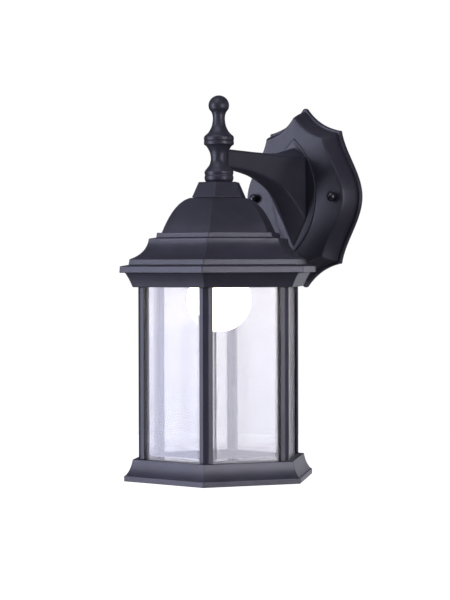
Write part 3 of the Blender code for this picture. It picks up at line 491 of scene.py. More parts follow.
def skinned(rings):
    """Bridge a row of closed loops of points, and fill the first and the last."""
    body = bmesh.new()
    loops = []
    for ring in rings:
        verts = [body.verts.new(point) for point in ring]
        loops.append([body.edges.new(pair) for pair in zip(verts, verts[1:] + verts[:1])])
    for lower, upper in zip(loops, loops[1:]):
        bmesh.ops.bridge_loops(body, edges=lower + upper)
    for end in (loops[0], loops[-1]):
        bmesh.ops.edgeloop_fill(body, edges=end)
    bmesh.ops.recalc_face_normals(body, faces=body.faces)
    return body


def smooth_run(points, steps):
    """Points on the smooth curve through these, with this many steps to a span."""
    rows = [Vector(p) for p in points]
    rows = [2 * rows[0] - rows[1]] + rows + [2 * rows[-1] - rows[-2]]
    run = [rows[1]]
    for a, b, c, d in zip(rows, rows[1:], rows[2:], rows[3:]):
        for i in range(1, steps + 1):
            u = i / steps
            run.append(
                0.5 * (2 * b + (c - a) * u + (2 * a - 5 * b + 4 * c - d) * u ** 2
                       + (3 * b - a - 3 * c + d) * u ** 3)
            )
    return run


def plate_casting():
    def at_depth(outline, depth):
        return [(x, -depth, z) for x, z in outline]

    flank = PLATE_DEPTH - PLATE_LIP
    bulge = smooth_run([(0.36, 0.03), (0.43, 0.2), (0.58, 0.5), (0.87, 0.88), (0.97, 0.955)], 4)
    outer = [(0.0, 0.0, 0.0), (0.0, PLATE_LIP - 1.0, 0.0), (0.01, PLATE_LIP - 0.35, 0.1),
             (0.03, PLATE_LIP - 0.05, 0.25), (0.06, PLATE_LIP, 0.4), (0.25, PLATE_LIP, 0.4),
             (0.27, PLATE_LIP - 0.5, 0.4), (0.31, PLATE_LIP - 0.5, 0.4), (0.34, PLATE_LIP, 0.1)]
    outer += [(p.x, PLATE_LIP + p.y * flank, 0.0) for p in bulge]
    outer += [(1.0, PLATE_DEPTH - 0.2, 0.2), (1.0, PLATE_DEPTH + 0.1, 0.6),
              (1.0, PLATE_DEPTH + 0.15, 1.1), (1.0, PLATE_DEPTH, 1.7),
              (1.0, PLATE_DEPTH - 0.05, 2.4)]
    rings = [at_depth(plate_outline(inset, shrink), depth) for inset, depth, shrink in outer]
    pad = [(0.0, PLATE_DEPTH - 0.05), (0.1, PAD_FRONT - 0.3), (0.4, PAD_FRONT - 0.05),
           (0.9, PAD_FRONT), (1.3, PAD_FRONT - 0.1), (1.9, PAD_FRONT - 0.3)]
    rings += [at_depth(almond_outline(shrink), depth) for shrink, depth in pad]
    hollow = [(1.0, PLATE_DEPTH - PLATE_WALL, PLATE_WALL + 1.4)]
    hollow += [
        (p.x, PLATE_LIP + p.y * (flank - PLATE_WALL), PLATE_WALL) for p in reversed(bulge)
    ]
    hollow += [(0.0, PLATE_LIP - 0.4, PLATE_WALL), (0.0, 0.0, PLATE_WALL - 0.3)]
    inner = [at_depth(plate_outline(inset, shrink), depth) for inset, depth, shrink in hollow]
    return skinned(inner + rings)


def outward(tool, height=0.0, across=0.0):
    """Turn an upright tool to point out of the wall, at this place on the plate."""
    bmesh.ops.rotate(tool, matrix=FORWARD, verts=tool.verts)
    bmesh.ops.translate(tool, vec=(across, 0.0, height), verts=tool.verts)
    return tool


plate_tools = [outward(rod(5.2, 1.0, 40.0, sides=40), WIRE_HOLE)]
plate_tools += [outward(rod(2.3, 1.0, 40.0), height) for height in ARM_SCREW_HEIGHTS]
plate_tools += [outward(rod(2.6, 1.0, 40.0), 0.0, x * STUD_SPACING / 2) for x in (-1, 1)]
settle(
    "plate_casting", machined(plate_casting(), *plate_tools), coat, "fixture",
    "black_powder_coat", "wall_plate", crisp=40,
)


# ---------------------------------------------------------------- arm
# The arm is one hollow die casting: a swept neck that grows from a rounded bar at the lantern to a
# deep pointed keel on the plate's pad, and the turned boss that carries the lantern and finial.

axis = middle_of("finial")
REACH = -axis.y / MM
boss_foot = (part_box("roof_cap")[1].z) / MM + GAP
boss_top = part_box("finial")[0].z / MM - GAP
ARM_FOOT = PAD_FRONT + GAP
waist = boss_foot + 19.3

ARM_LEVELS = (                     # five even stations from the boss to the plate
    ("top", (38.8, 38.1, 37.5, 38.0, 43.6)),
    ("shoulder", (38.2, 37.3, 36.2, 35.0, 34.9)),
    ("crease", (22.4, 21.1, 16.5, 6.9, -18.0)),
    ("keel", (21.8, 19.4, 12.4, -4.3, -43.0)),
)
ARM_HALF_WIDTHS = (5.9, 6.3, 7.9, 10.4, 13.4)
CORNER_STEPS = 5


def softened(corners, radius):
    """A loop with each corner swept into a short curve that keeps to this radius."""
    loop = []
    count = len(corners)
    for i, corner in enumerate(corners):
        corner = Vector(corner)
        before, after = Vector(corners[i - 1]), Vector(corners[(i + 1) % count])
        start = corner + (before - corner) * min(0.42, radius / (before - corner).length)
        end = corner + (after - corner) * min(0.42, radius / (after - corner).length)
        loop += bow(start, corner, end, CORNER_STEPS)
    return loop


def arm_neck():
    steps = 11
    levels = {
        name: smooth_run([(height, 0.0) for height in heights], steps)
        for name, heights in ARM_LEVELS
    }
    halves = smooth_run([(half, 0.0) for half in ARM_HALF_WIDTHS], steps)
    rings = []
    for i, half in enumerate(halves):
        t = i / (len(halves) - 1)
        out = -REACH + 1.0 + (REACH - 1.0 - ARM_FOOT) * t
        half = half.x
        level = {name: values[i].x for name, values in levels.items()}
        corners = [
            (0.0, level["top"]), (half, level["shoulder"]), (half, level["crease"]),
            (0.0, level["keel"]), (-half, level["crease"]), (-half, level["shoulder"]),
        ]
        rings.append([(x, out, z) for x, z in softened(corners, 2.6 - 0.8 * t)])
    return skinned(rings)


def boss():
    foot, top = boss_foot, boss_top
    rim = [(0.0, top), (12.2, top), (12.45, top - 0.25), (12.5, top - 0.6)]
    upper = [(12.5, top - 1.9), (12.4, top - 2.8), (11.9, top - 3.4), (10.9, top - 4.0),
             (10.1, top - 5.0)]
    shoulder = [(9.3, waist + 8.5), (8.4, waist + 6.9), (7.4, waist + 4.4), (6.85, waist + 1.1)]
    lower = [(6.9, waist - 1.4), (7.5, waist - 3.9), (8.25, waist - 5.6), (9.4, waist - 7.2)]
    collar = [(10.8, foot + 10.4), (11.8, foot + 9.0), (12.1, foot + 7.8), (12.0, foot + 6.8)]
    groove = [(11.75, foot + 6.1), (11.65, foot + 5.6), (11.75, foot + 5.1)]
    ring = [(12.05, foot + 4.2), (12.1, foot + 3.1), (11.8, foot + 1.5), (11.2, foot + 0.3)]
    side = rim[2:] + upper + shoulder + lower + collar + groove + ring
    turned = [tuple(p) for p in smooth_run(side, 4)]
    return spun(rim[:2] + turned + [(10.7, foot), (0.0, foot)], 72)


def arm_casting():
    turned_boss = boss()
    bmesh.ops.translate(turned_boss, vec=(0.0, -REACH, 0.0), verts=turned_boss.verts)
    whole = machined(arm_neck(), turned_boss, operation="UNION")
    bores = [rod(5.1, boss_foot - 1.0, waist - 6.7, (0.0, -REACH)),
             rod(2.8, boss_top - 9.3, boss_top + 1.0, (0.0, -REACH))]
    wire_way = outward(rod(3.4, ARM_FOOT - 1.0, ARM_FOOT + 14.0), WIRE_HOLE)
    return machined(whole, *bores, wire_way)


settle("arm_casting", arm_casting(), coat, "fixture", "black_powder_coat", "arm", crisp=50)


# ---------------------------------------------------------------- arm screws
# Two black-zinc machine screws reach through the back of the plate into the arm's foot and pull
# it down on its pad. Only their heads show, inside the plate's hollow.

black_zinc = plated("black_zinc", (0.03, 0.03, 0.034, 1), (0.012, 0.012, 0.014, 1), 0.34, 0.5)
ARM_SCREW_HEAD = 2.6
for number in (1, 2):
    low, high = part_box(f"arm_screw_{number}")
    centre = middle_of(f"arm_screw_{number}")
    settle(
        f"arm_bolt_{number}",
        pan_head(2.0, (high.x - low.x) / MM / 2, ARM_SCREW_HEAD,
                 (high.y - low.y) / MM - ARM_SCREW_HEAD),
        black_zinc, "fixture", "black_zinc", f"arm_screw_{number}",
        at=(centre.x, high.y - ARM_SCREW_HEAD * MM, centre.z), tilt=FORWARD,
    )


# ---------------------------------------------------------------- cap nuts
# A small ball-shaped nut screws on each stud and holds the plate to the wall. The nuts are turned
# brass with a smooth black lacquer, so they shine more than the plate does.

def black_lacquer():
    made, start, place = new_finish("black_lacquer")
    swirl = grain(start, place, 700.0, 4.0, 0.6)
    rubbed = grain(start, place, 2600.0, 2.0).above(0.6, 0.72)
    bump = start.node("Bump", Strength=0.15, Distance=0.00004, Height=swirl)
    dress(
        made, start,
        Base_Color=rubbed.blend((0.008, 0.008, 0.011, 1), (0.03, 0.028, 0.03, 1)),
        Roughness=0.2 + swirl * 0.14 + rubbed * 0.15,
        Coat_Weight=0.4,
        Coat_Roughness=0.12,
        Normal=bump,
    )
    return made


lacquer = black_lacquer()


def ball_nut(radius, length):
    """A ball on a narrow foot, bored from behind, standing on its foot."""
    middle = length - radius
    start_angle = radians(-43)
    ball = [
        (radius * cos(angle), middle + radius * sin(angle))
        for angle in [radians(90) + (start_angle - radians(90)) * i / 22 for i in range(23)]
    ]
    ball[0] = (0.0, length)
    foot = [(ball[-1][0] + 0.25, 0.55), (ball[-1][0] + 0.3, 0.2), (ball[-1][0] + 0.1, 0.0)]
    bore = [(2.3, 0.0), (2.3, 5.2), (0.0, 5.2)]
    return spun(ball + foot + bore, 48)


for side in ("left", "right"):
    low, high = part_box("cap_nut_" + side)
    centre = middle_of("cap_nut_" + side)
    settle(
        f"ball_nut_{side}", ball_nut((high.x - low.x) / MM / 2, (high.y - low.y) / MM), lacquer,
        side + "_cap_nut", "black_gloss", "cap_nut_" + side,
        at=(centre.x, high.y, centre.z), tilt=FORWARD, crisp=50,
    )


# ---------------------------------------------------------------- nipple
# A threaded steel tube joins boss, cap, roof and lamp holder into one stack, and the leads run up
# through it. A hexagon nut under the roof clamps the castings together.

def place_on_axis(node):
    """The lantern's axis at the foot of a node, in metres."""
    return Vector((axis.x, axis.y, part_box(node)[0].z))


def height_of(node):
    low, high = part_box(node)
    return (high.z - low.z) / MM


def nipple_tube():
    radius, bore, length = 4.8, 3.6, height_of("nipple")
    chamfer = 0.5
    wall = stations([(radius, chamfer), (radius, length - chamfer)], 0.2)
    foot = [(bore, length), (bore, 0.0), (radius - chamfer, 0.0)]
    body = spun(foot + wall + [(radius - chamfer, length), (bore, length)], 40)
    roll_thread(body, radius, 0.8, length - 0.8, 1.0, 0.4)
    return body


settle(
    "nipple_tube", nipple_tube(), zinc, "fixture", "zinc_plate", "nipple",
    at=place_on_axis("nipple"),
)
settle(
    "roof_clamp_nut", hexagon_nut(8.5, 4.9, height_of("roof_nut")), zinc, "fixture",
    "zinc_plate", "roof_nut", at=place_on_axis("roof_nut"),
)


# ---------------------------------------------------------------- roof cap
# A small six-sided casting sits on the roof and takes up the step to the round boss. Like every
# casting here it has soft mould corners and the same textured powder coat.

def cap_casting():
    height = height_of("roof_cap")
    foot, top, bore = 24.2, 18.1, 5.9
    outer = [(bore, height), (top, height), (foot, 0.0)]
    inner = [(foot - 2.8, 0.0), (top - 1.8, height - 2.5), (bore, height - 2.5), (bore, height)]
    return spun(outer + inner, 6)


def settle_casting(name, body, node, edge=0.55):
    """Place a six-sided casting on the axis, with its mould corners rounded."""
    settle(
        name, body, coat, "fixture", "black_powder_coat", node,
        at=place_on_axis(node), edge=edge, crisp=20,
    )


settle_casting("cap_casting", cap_casting(), "roof_cap")


# ---------------------------------------------------------------- roof
# The roof is a hollow six-sided casting: a short upright band, a hollow-curved skirt, a step, and
# a bulging dome. Three posts inside take the screws of the top frame.

SKIRT_FOOT, SKIRT_HEAD, STEP_HEAD = 4.0, 21.2, 26.0
ROOF_HEIGHT = height_of("roof")
ROOF_SKIN, ROOF_BORE = 2.2, 6.0
BAND_CORNER = 79.6             # the roof's upright band and its seat on the top frame
SEAT = -0.28                   # the band beds down on the brim through the joint's gap
SCREW_RING = 47.5
SCREW_ANGLES = (30, 150, 270)


def ring_place(angle):
    """Where a screw of the top frame stands, about the axis."""
    return SCREW_RING * cos(radians(angle)), SCREW_RING * sin(radians(angle))


def roof_casting():
    dome = bow((25.4, ROOF_HEIGHT), (39.8, ROOF_HEIGHT - 3.1), (50.7, STEP_HEAD), 20)
    skirt = bow((62.0, SKIRT_HEAD), (63.7, SKIRT_FOOT + 5.1), (78.4, SKIRT_FOOT + 0.4), 18)
    step = [(54.9, STEP_HEAD), (55.5, SKIRT_HEAD + 0.9)]
    outer = [(ROOF_BORE, ROOF_HEIGHT)] + dome + step + skirt
    outer += [(78.9, SKIRT_FOOT), (BAND_CORNER, SEAT)]
    ceiling, ledge, step_inside = ROOF_HEIGHT - ROOF_SKIN, SKIRT_HEAD - ROOF_SKIN, 48.5
    inner_skirt = bow((59.8, ledge), (61.5, SKIRT_FOOT + 2.9), (75.4, SKIRT_FOOT - 0.8), 12)
    inner_dome = bow((24.4, ceiling), (37.6, ROOF_HEIGHT - 5.3), (step_inside, STEP_HEAD), 14)
    inner = (
        [(76.8, SEAT)] + inner_skirt[::-1] + [(step_inside, ledge)]
        + inner_dome[::-1] + [(ROOF_BORE, ceiling), (ROOF_BORE, ROOF_HEIGHT)]
    )
    shell = spun(outer + inner, 6)
    posts = [rod(3.6, 0.0, SKIRT_HEAD - 1.0, ring_place(angle), 24) for angle in SCREW_ANGLES]
    return machined(shell, *posts, operation="UNION")


settle_casting("roof_casting", roof_casting(), "roof")


# ---------------------------------------------------------------- lamp holder
# A glazed porcelain socket hangs from the nipple in a pressed steel cup. Inside it are the rolled
# brass screw shell and the sprung centre contact.

def glazed_porcelain():
    made, start, place = new_finish("glazed_porcelain")
    pits = start.node("TexVoronoi", Vector=place, Scale=520.0).above(0.05, 0.12)
    tint = grain(start, place, 90.0)
    bump = start.node("Bump", Strength=0.25, Distance=0.00008, Height=pits + tint * 0.4)
    dress(
        made, start,
        Base_Color=tint.above(0.35, 0.7).blend((0.82, 0.80, 0.75, 1), (0.72, 0.70, 0.65, 1)),
        Roughness=0.3 - pits * 0.12,
        Coat_Weight=0.6,
        Coat_Roughness=0.08,
        Normal=bump,
    )
    return made


brass = plated("rolled_brass", (0.80, 0.60, 0.27, 1), (0.55, 0.38, 0.15, 1), 0.22)


def cup_pressing():
    top = height_of("socket_cup")
    rim = 18.5
    bell = [(7.6, top - 0.7), (7.6, top - 6.5), (9.4, top - 8.9), (17.6, top - 11.2),
            (20.0, top - 13.4)]
    outer = [(5.1, top), (7.0, top)] + [tuple(p) for p in smooth_run(bell, 6)]
    inner = [(rim, 0.0), (rim, 5.6), (6.1, 9.0), (5.1, 10.0), (5.1, top)]
    return spun(outer + [(20.0, 0.3), (19.7, 0.0)] + inner, 64)


def socket_porcelain():
    top = height_of("socket_body")
    ceiling = top - 3.5
    outer = [(1.7, top), (16.6, top), (17.7, top - 0.5), (18.2, top - 1.6), (18.2, top - 11.0)]
    bead = [(17.7, top - 11.6), (17.7, top - 12.6), (18.2, top - 13.2), (18.2, 1.4), (17.6, 0.4)]
    rim = [(16.6, 0.0), (14.9, 0.0), (14.6, 0.5), (14.6, ceiling), (1.7, ceiling), (1.7, top)]
    ways = [rod(1.2, ceiling - 1.0, top + 1.0, (sign * 6.0, 0.0), 16) for sign in (-1, 1)]
    return machined(spun(outer + bead + rim, 64), *ways)


def screw_shell():
    top = height_of("socket_shell")
    inner, outer = 13.7, 14.3
    wall = stations([(inner, 0.2), (inner, top - 0.6)], 0.55)
    flat = [(7.0, top - 0.6), (7.0, top), (outer, top), (outer, 0.0), (inner, 0.0)]
    return spun(flat + wall + [(7.0, top - 0.6)], 64)


def centre_contact():
    top = height_of("socket_contact")
    spring = [(0.0, top), (1.4, top), (1.4, 1.5), (1.9, 1.15), (4.2, 1.15), (4.5, 0.9)]
    return spun(spring + [(4.5, 0.5), (3.0, 0.15), (1.2, 0.0), (0.0, 0.0)], 40)


porcelain = glazed_porcelain()
for name, body, finish, slot, node in (
    ("holder_cup", cup_pressing(), zinc, "zinc_plate", "socket_cup"),
    ("holder_porcelain", socket_porcelain(), porcelain, "porcelain", "socket_body"),
    ("holder_shell", screw_shell(), brass, "brass", "socket_shell"),
    ("holder_contact", centre_contact(), brass, "brass", "socket_contact"),
):
    settle(name, body, finish, "fixture", slot, node, at=place_on_axis(node))


# ---------------------------------------------------------------- leads and connectors
# Two insulated leads run from the socket through nipple and arm into the plate's hollow, and end
# in twist-on connectors: moulded cones with grip ribs and a rolled skirt.

def insulation(name, colour, worn):
    made, start, place = new_finish(name)
    drawn = grain(start, place, 1100.0, 2.0)
    smear = grain(start, place, 120.0, 4.0).above(0.5, 0.75)
    bump = start.node("Bump", Strength=0.2, Distance=0.00005, Height=drawn)
    dress(
        made, start, Base_Color=(smear * 0.6).blend(colour, worn),
        Roughness=0.36 + drawn * 0.12 + smear * 0.1, Normal=bump,
    )
    return made


black_lead = insulation("black_lead", (0.012, 0.012, 0.013, 1), (0.04, 0.04, 0.04, 1))
white_lead = insulation("white_lead", (0.78, 0.77, 0.73, 1), (0.6, 0.58, 0.53, 1))
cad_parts["hot_lead"].material_slots[0].material = black_lead
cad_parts["neutral_lead"].material_slots[0].material = white_lead


def moulded_orange():
    made, start, place = new_finish("moulded_orange")
    flow = grain(start, place, 240.0)
    matt = grain(start, place, 1800.0, 2.0)
    bump = start.node("Bump", Strength=0.3, Distance=0.00006, Height=matt)
    dress(
        made, start,
        Base_Color=flow.above(0.4, 0.65).blend((0.80, 0.20, 0.02, 1), (0.68, 0.15, 0.015, 1)),
        Roughness=0.42 + matt * 0.15, Subsurface_Weight=0.05, Normal=bump,
    )
    return made


def twist_connector(length, mouth=5.0, tip=2.6):
    """A ribbed cone that stands on its open mouth."""
    outer = [(0.0, length), (0.6 * tip, length - 0.1), (0.9 * tip, length - 0.6)]
    outer += stations([(tip, length - 1.4), (mouth - 0.5, 3.4)], 0.8)
    skirt = [(mouth - 0.1, 2.6), (mouth, 1.8), (mouth, 0.5), (mouth - 0.4, 0.0), (1.9, 0.0)]
    body = spun(outer + skirt + [(1.6, 3.0), (0.0, 3.0)], 72)
    for vert in body.verts:
        out = sqrt(vert.co.x ** 2 + vert.co.y ** 2)
        if 3.0 < vert.co.z < length - 1.0 and out > 2.0:
            rib = 1 - 0.055 * (0.5 + 0.5 * cos(12 * atan2(vert.co.y, vert.co.x)))
            vert.co.x, vert.co.y = vert.co.x * rib, vert.co.y * rib
    return body


orange = moulded_orange()
for wire, sign in (("hot", 1), ("neutral", -1)):
    low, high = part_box(wire + "_connector")
    centre = middle_of(wire + "_connector")
    mouth_x = low.x if sign > 0 else high.x
    settle(
        wire + "_twist_connector", twist_connector((high.x - low.x) / MM), orange, "fixture",
        "connector", wire + "_connector", at=(mouth_x, centre.y, centre.z),
        tilt=Matrix.Rotation(sign * pi / 2, 3, "Y"),
    )


# ---------------------------------------------------------------- top frame
# The top frame is a six-sided casting under the roof: a drip brim over a hollow-curved cornice,
# grooved below for the glass, with tenon pockets for the posts. Three screws hold it to the roof.

CAGE_CORNER = 71.8
GROOVE_OUTER, GROOVE_INNER, LIP_INNER = 69.5, 65.1, 62.8
UPPER_REBATE = 6.3
BRIM_FOOT, BRIM_TOP = 11.8, 17.2


def frame_casting():
    top = height_of("top_frame")
    cove = bow((82.8, BRIM_FOOT), (79.0, 6.8), (76.2, 0.0), 16)
    bore, ceiling = 50.8, top - 2.5
    outer = [(bore, top), (BAND_CORNER, top), (87.2, BRIM_TOP), (87.6, BRIM_FOOT)] + cove
    groove = [(GROOVE_OUTER, 0.0), (GROOVE_OUTER, UPPER_REBATE), (GROOVE_INNER, UPPER_REBATE)]
    inner = [(GROOVE_INNER, 0.8), (LIP_INNER, 0.8), (LIP_INNER, ceiling), (bore, ceiling),
             (bore, top)]
    return spun(outer + groove + inner, 6)


settle_casting("frame_casting", frame_casting(), "top_frame")
for number in (1, 2, 3):
    low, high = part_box(f"frame_screw_{number}")
    centre = middle_of(f"frame_screw_{number}")
    settle(
        f"frame_bolt_{number}",
        pan_head(1.6, (high.x - low.x) / MM / 2, SMALL_SCREW_HEAD,
                 (high.z - low.z) / MM - SMALL_SCREW_HEAD),
        black_zinc, "fixture", "black_zinc", f"frame_screw_{number}",
        at=(centre.x, centre.y, low.z + SMALL_SCREW_HEAD * MM),
    )


# ---------------------------------------------------------------- posts
# Six extruded corner posts stand between base and frame on short tenons. Each has a blunt nose,
# two flanges outside, and a rib with two slim lips inside, so the glass stands in a channel.

NOSE_WIDTH, FLANGE_REACH, FLANGE_THICKNESS = 4.5, 3.9, 1.8
RIB_WIDTH, LIP_REACH, LIP_THICKNESS = 2.4, 3.0, 1.2
GLASS_FRONT, GLASS_BACK = 59.88, 56.68       # the panes' faces, from the axis
COS30 = cos(radians(30))


def post_bar(length):
    nose = CAGE_CORNER - NOSE_WIDTH / 2 * tan(radians(30))
    along, inwards = Vector((-0.5, COS30)), Vector((-COS30, -0.5))
    edge = Vector((nose, NOSE_WIDTH / 2))
    tip = edge + along * FLANGE_REACH
    back = tip + inwards * FLANGE_THICKNESS
    root = back - along * ((back.y - RIB_WIDTH / 2) / COS30)
    lip_face = (GLASS_BACK - GAP) / COS30
    lip_root = Vector((lip_face, 0.0)) + along * (RIB_WIDTH / 2 / COS30)
    lip_tip = lip_root + along * LIP_REACH
    half = [edge, tip, back, Vector((root.x, RIB_WIDTH / 2)), lip_root, lip_tip,
            lip_tip + inwards * LIP_THICKNESS]
    outline = [(p.x, p.y) for p in half] + [(lip_face - LIP_THICKNESS / COS30, 0.0)]
    outline += [(p.x, -p.y) for p in reversed(half)]
    body = bmesh.new()
    plan = body.faces.new([body.verts.new((x, y, 0.0)) for x, y in outline])
    walls = bmesh.ops.extrude_face_region(body, geom=[plan])
    raised = [v for v in walls["geom"] if isinstance(v, bmesh.types.BMVert)]
    bmesh.ops.translate(body, vec=(0.0, 0.0, length), verts=raised)
    bmesh.ops.recalc_face_normals(body, faces=body.faces)
    return body


post_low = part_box("base_ring")[1].z
post_length = (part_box("top_frame")[0].z - post_low) / MM
for number in range(6):
    settle(
        f"post_bar_{number + 1}", post_bar(post_length), coat, "fixture", "black_powder_coat",
        f"post_{number + 1}", at=(axis.x, axis.y, post_low),
        tilt=Matrix.Rotation(radians(60 * number), 3, "Z"), edge=0.35, crisp=20,
    )


# ---------------------------------------------------------------- glass
# Six loose panes of thick clear glass stand in the grooves. Each has a wide polished bevel ground
# all round its outer face, and outdoors it carries a thin milky film with a little dust low down.

def bevelled_glass():
    made, start, place = new_finish("bevelled_glass")
    wave = grain(start, place, 26.0, 1.0)
    film = grain(start, place, 60.0, 5.0, 0.6)
    dust = start.node("TexVoronoi", Vector=place, Scale=900.0).above(0.05, 0.0)
    height = start.node("SeparateXYZ", output="Z", Vector=place)
    low_down = (height * -1.0).above(0.19, 0.222)
    milky = 0.235 + film * 0.05 + low_down * 0.05 + dust * 0.05
    bump = start.node("Bump", Strength=0.08, Distance=0.0006, Height=wave)
    dress(
        made, start, Base_Color=(0.985, 0.99, 1.0, 1), Roughness=0.0, IOR=1.5,
        Transmission_Weight=1.0, Normal=bump,
    )
    shader = Signal(made.node_tree, made.node_tree.nodes["Principled BSDF"].outputs[0])
    veil = start.node("BsdfDiffuse", Color=(0.55, 0.535, 0.535, 1))
    mixed = made.node_tree.nodes.new("ShaderNodeMixShader")
    start.fill(mixed, {0: milky, 1: shader, 2: veil})
    surface = Signal(start.tree, mixed.outputs[0])
    start.fill(made.node_tree.nodes["Material Output"], {"Surface": surface})
    return made


glass = bevelled_glass()
GLASS_BEVEL, GLASS_GRIND = 7.5, 0.8


def glass_pane(height):
    corner_to_edge = (RIB_WIDTH / 2 + 0.4 + 1.6) / COS30
    half = GLASS_FRONT * tan(radians(30)) - corner_to_edge
    pane = slab((GLASS_BACK, -half, 0.0), (GLASS_FRONT - GLASS_GRIND, half, height))
    front = [face for face in pane.faces if face.normal.x > 0.5]
    bmesh.ops.inset_region(pane, faces=front, thickness=GLASS_BEVEL, depth=GLASS_GRIND)
    return pane


for number in range(6):
    node = f"glass_panel_{number + 1}"
    settle(
        f"pane_{number + 1}", glass_pane(height_of(node)), glass, "fixture", "clear_glass", node,
        at=place_on_axis(node), tilt=Matrix.Rotation(radians(30 + 60 * number), 3, "Z"), crisp=4,
    )


# ---------------------------------------------------------------- base ring
# The base is an open six-sided casting with a flared, hollow-curved flank over an upright foot
# band. A groove on top takes the glass, and it is open below for changing the lamp.

BASE_HEIGHT = height_of("base_ring")
FOOT_BAND = 4.6


def base_casting():
    cove = bow((76.6, BASE_HEIGHT), (78.2, 9.1), (83.2, FOOT_BAND), 16)
    groove_floor = BASE_HEIGHT - 2.0
    wall = 2.5
    under = groove_floor - wall
    top = [(LIP_INNER, BASE_HEIGHT), (GROOVE_INNER, BASE_HEIGHT), (GROOVE_INNER, groove_floor),
           (GROOVE_OUTER, groove_floor), (GROOVE_OUTER, BASE_HEIGHT)]
    foot = [(84.1, FOOT_BAND), (84.1, 0.0), (81.6, 0.0), (81.2, 3.6), (75.7, under)]
    lip = [(LIP_INNER + wall, under), (LIP_INNER + wall, 0.0), (LIP_INNER, 0.0),
           (LIP_INNER, BASE_HEIGHT)]
    return spun(top + cove + foot + lip, 6)


settle_casting("base_casting", base_casting(), "base_ring", edge=0.5)


# ---------------------------------------------------------------- bulb
# A small globe lamp screws up into the socket: an opal glass envelope that glows warm white, a
# rolled metal screw base, a black glass insulator and a soldered tip. It unscrews downwards.

BULB_RADIUS, NECK_RADIUS, BULB_WALL = 26.2, 12.1, 1.0


def glowing_opal():
    made, start, place = new_finish("glowing_opal")
    coating = grain(start, place, 300.0, 3.0)
    bump = start.node("Bump", Strength=0.1, Distance=0.00005, Height=coating)
    dress(
        made, start, Base_Color=(0.95, 0.94, 0.91, 1), Roughness=0.25 + coating * 0.1,
        Emission_Color=coating.above(0.3, 0.7).blend((1.0, 0.88, 0.68, 1), (1.0, 0.91, 0.74, 1)),
        Emission_Strength=5.0, Normal=bump,
    )
    return made


def envelope():
    """The globe and its neck, with a wall of even thickness, standing on its lowest point."""
    neck_height = BULB_RADIUS + sqrt(BULB_RADIUS ** 2 - NECK_RADIUS ** 2)
    top = height_of("bulb_glass")

    def globe(radius, neck):
        start = atan2(sqrt(radius ** 2 - neck ** 2), neck)
        angles = [start + (-pi / 2 - start) * i / 40 for i in range(41)]
        arc = [(radius * cos(angle), BULB_RADIUS + radius * sin(angle)) for angle in angles]
        return arc[:-1] + [(0.0, BULB_RADIUS - radius)]

    outer = globe(BULB_RADIUS, NECK_RADIUS)
    blend_in = [(NECK_RADIUS, top), (NECK_RADIUS, neck_height + 1.5),
                (NECK_RADIUS + 0.3, neck_height + 0.3)]
    inner = globe(BULB_RADIUS - BULB_WALL, NECK_RADIUS - BULB_WALL)
    return spun(inner[::-1] + [(NECK_RADIUS - BULB_WALL, top)] + blend_in + outer[1:], 80)


def rolled_base():
    height = height_of("bulb_base")
    radius, inner = 13.3, 12.4
    wall = stations([(radius, 0.6), (radius, height - 1.9)], 0.45)
    outer = [(5.3, height), (9.5, height)] + wall[::-1] + [(radius - 0.3, 0.0), (inner, 0.0)]
    inside = [(inner, height - 2.4), (9.2, height - 0.8), (5.3, height - 0.8), (5.3, height)]
    body = spun(outer + inside, 64)
    roll_thread(body, radius, 3.0, height - 2.2, 3.6, 0.75)
    return body


def insulator_disc():
    height = height_of("bulb_insulator")
    rim = [(3.6, height), (4.4, height - 0.4), (5.0, height - 1.3), (5.0, 0.0)]
    return spun([(0.0, height)] + rim + [(0.0, 0.0)], 40)


def solder_tip():
    height = height_of("bulb_tip")
    return spun(
        [(0.0, height), (1.0, height - 0.05), (1.8, height - 0.35), (2.5, height - 0.9), (3.2, 0.3),
         (3.2, 0.0), (0.0, 0.0)], 32,
    )


def black_glass():
    made, start, place = new_finish("black_glass")
    ripple = grain(start, place, 500.0)
    bump = start.node("Bump", Strength=0.2, Distance=0.00006, Height=ripple)
    dress(
        made, start,
        Base_Color=ripple.above(0.4, 0.7).blend((0.006, 0.005, 0.009, 1), (0.03, 0.02, 0.04, 1)),
        Roughness=0.08 + ripple * 0.1, Normal=bump,
    )
    return made


bulb_metal = plated("bulb_metal", (0.70, 0.69, 0.66, 1), (0.50, 0.49, 0.46, 1), 0.24)
for name, body, finish, slot, node in (
    ("lamp_envelope", envelope(), glowing_opal(), "bulb_glass", "bulb_glass"),
    ("lamp_screw_base", rolled_base(), bulb_metal, "bulb_metal", "bulb_base"),
    ("lamp_insulator", insulator_disc(), black_glass(), "base_insulator", "bulb_insulator"),
    ("lamp_tip", solder_tip(), bulb_metal, "brass", "bulb_tip"),
):
    settle(name, body, finish, "bulb", slot, node, at=place_on_axis(node))


# ---------------------------------------------------------------- finial
# The finial is a solid turning with a ball, a slim waist and a bell foot. It screws on a short
# stud in the boss and closes its upper end, and it is coated with the castings.

def finial_turning():
    top = height_of("finial")
    ball = 8.65
    crown = [
        (ball * sin(radians(6 * i)), top - ball + ball * cos(radians(6 * i))) for i in range(16)
    ]
    neck = [(8.25, top - 10.9), (7.4, top - 12.3), (6.3, top - 13.8), (5.6, top - 15.4),
            (5.2, top - 17.4)]
    stem = [(5.05, top - 19.4), (5.3, top - 22.2), (5.95, top - 25.4)]
    bell = [(6.95, 9.8), (8.45, 7.2), (10.35, 5.2), (11.65, 4.1), (12.3, 3.2), (12.5, 2.2),
            (12.5, 0.5)]
    bore, depth = 2.8, 7.3
    body = [tuple(p) for p in smooth_run(crown[-1:] + neck + stem + bell, 4)]
    return spun(crown[:-1] + body + [(12.25, 0.0), (bore, 0.0), (bore, depth), (0.0, depth)], 72)


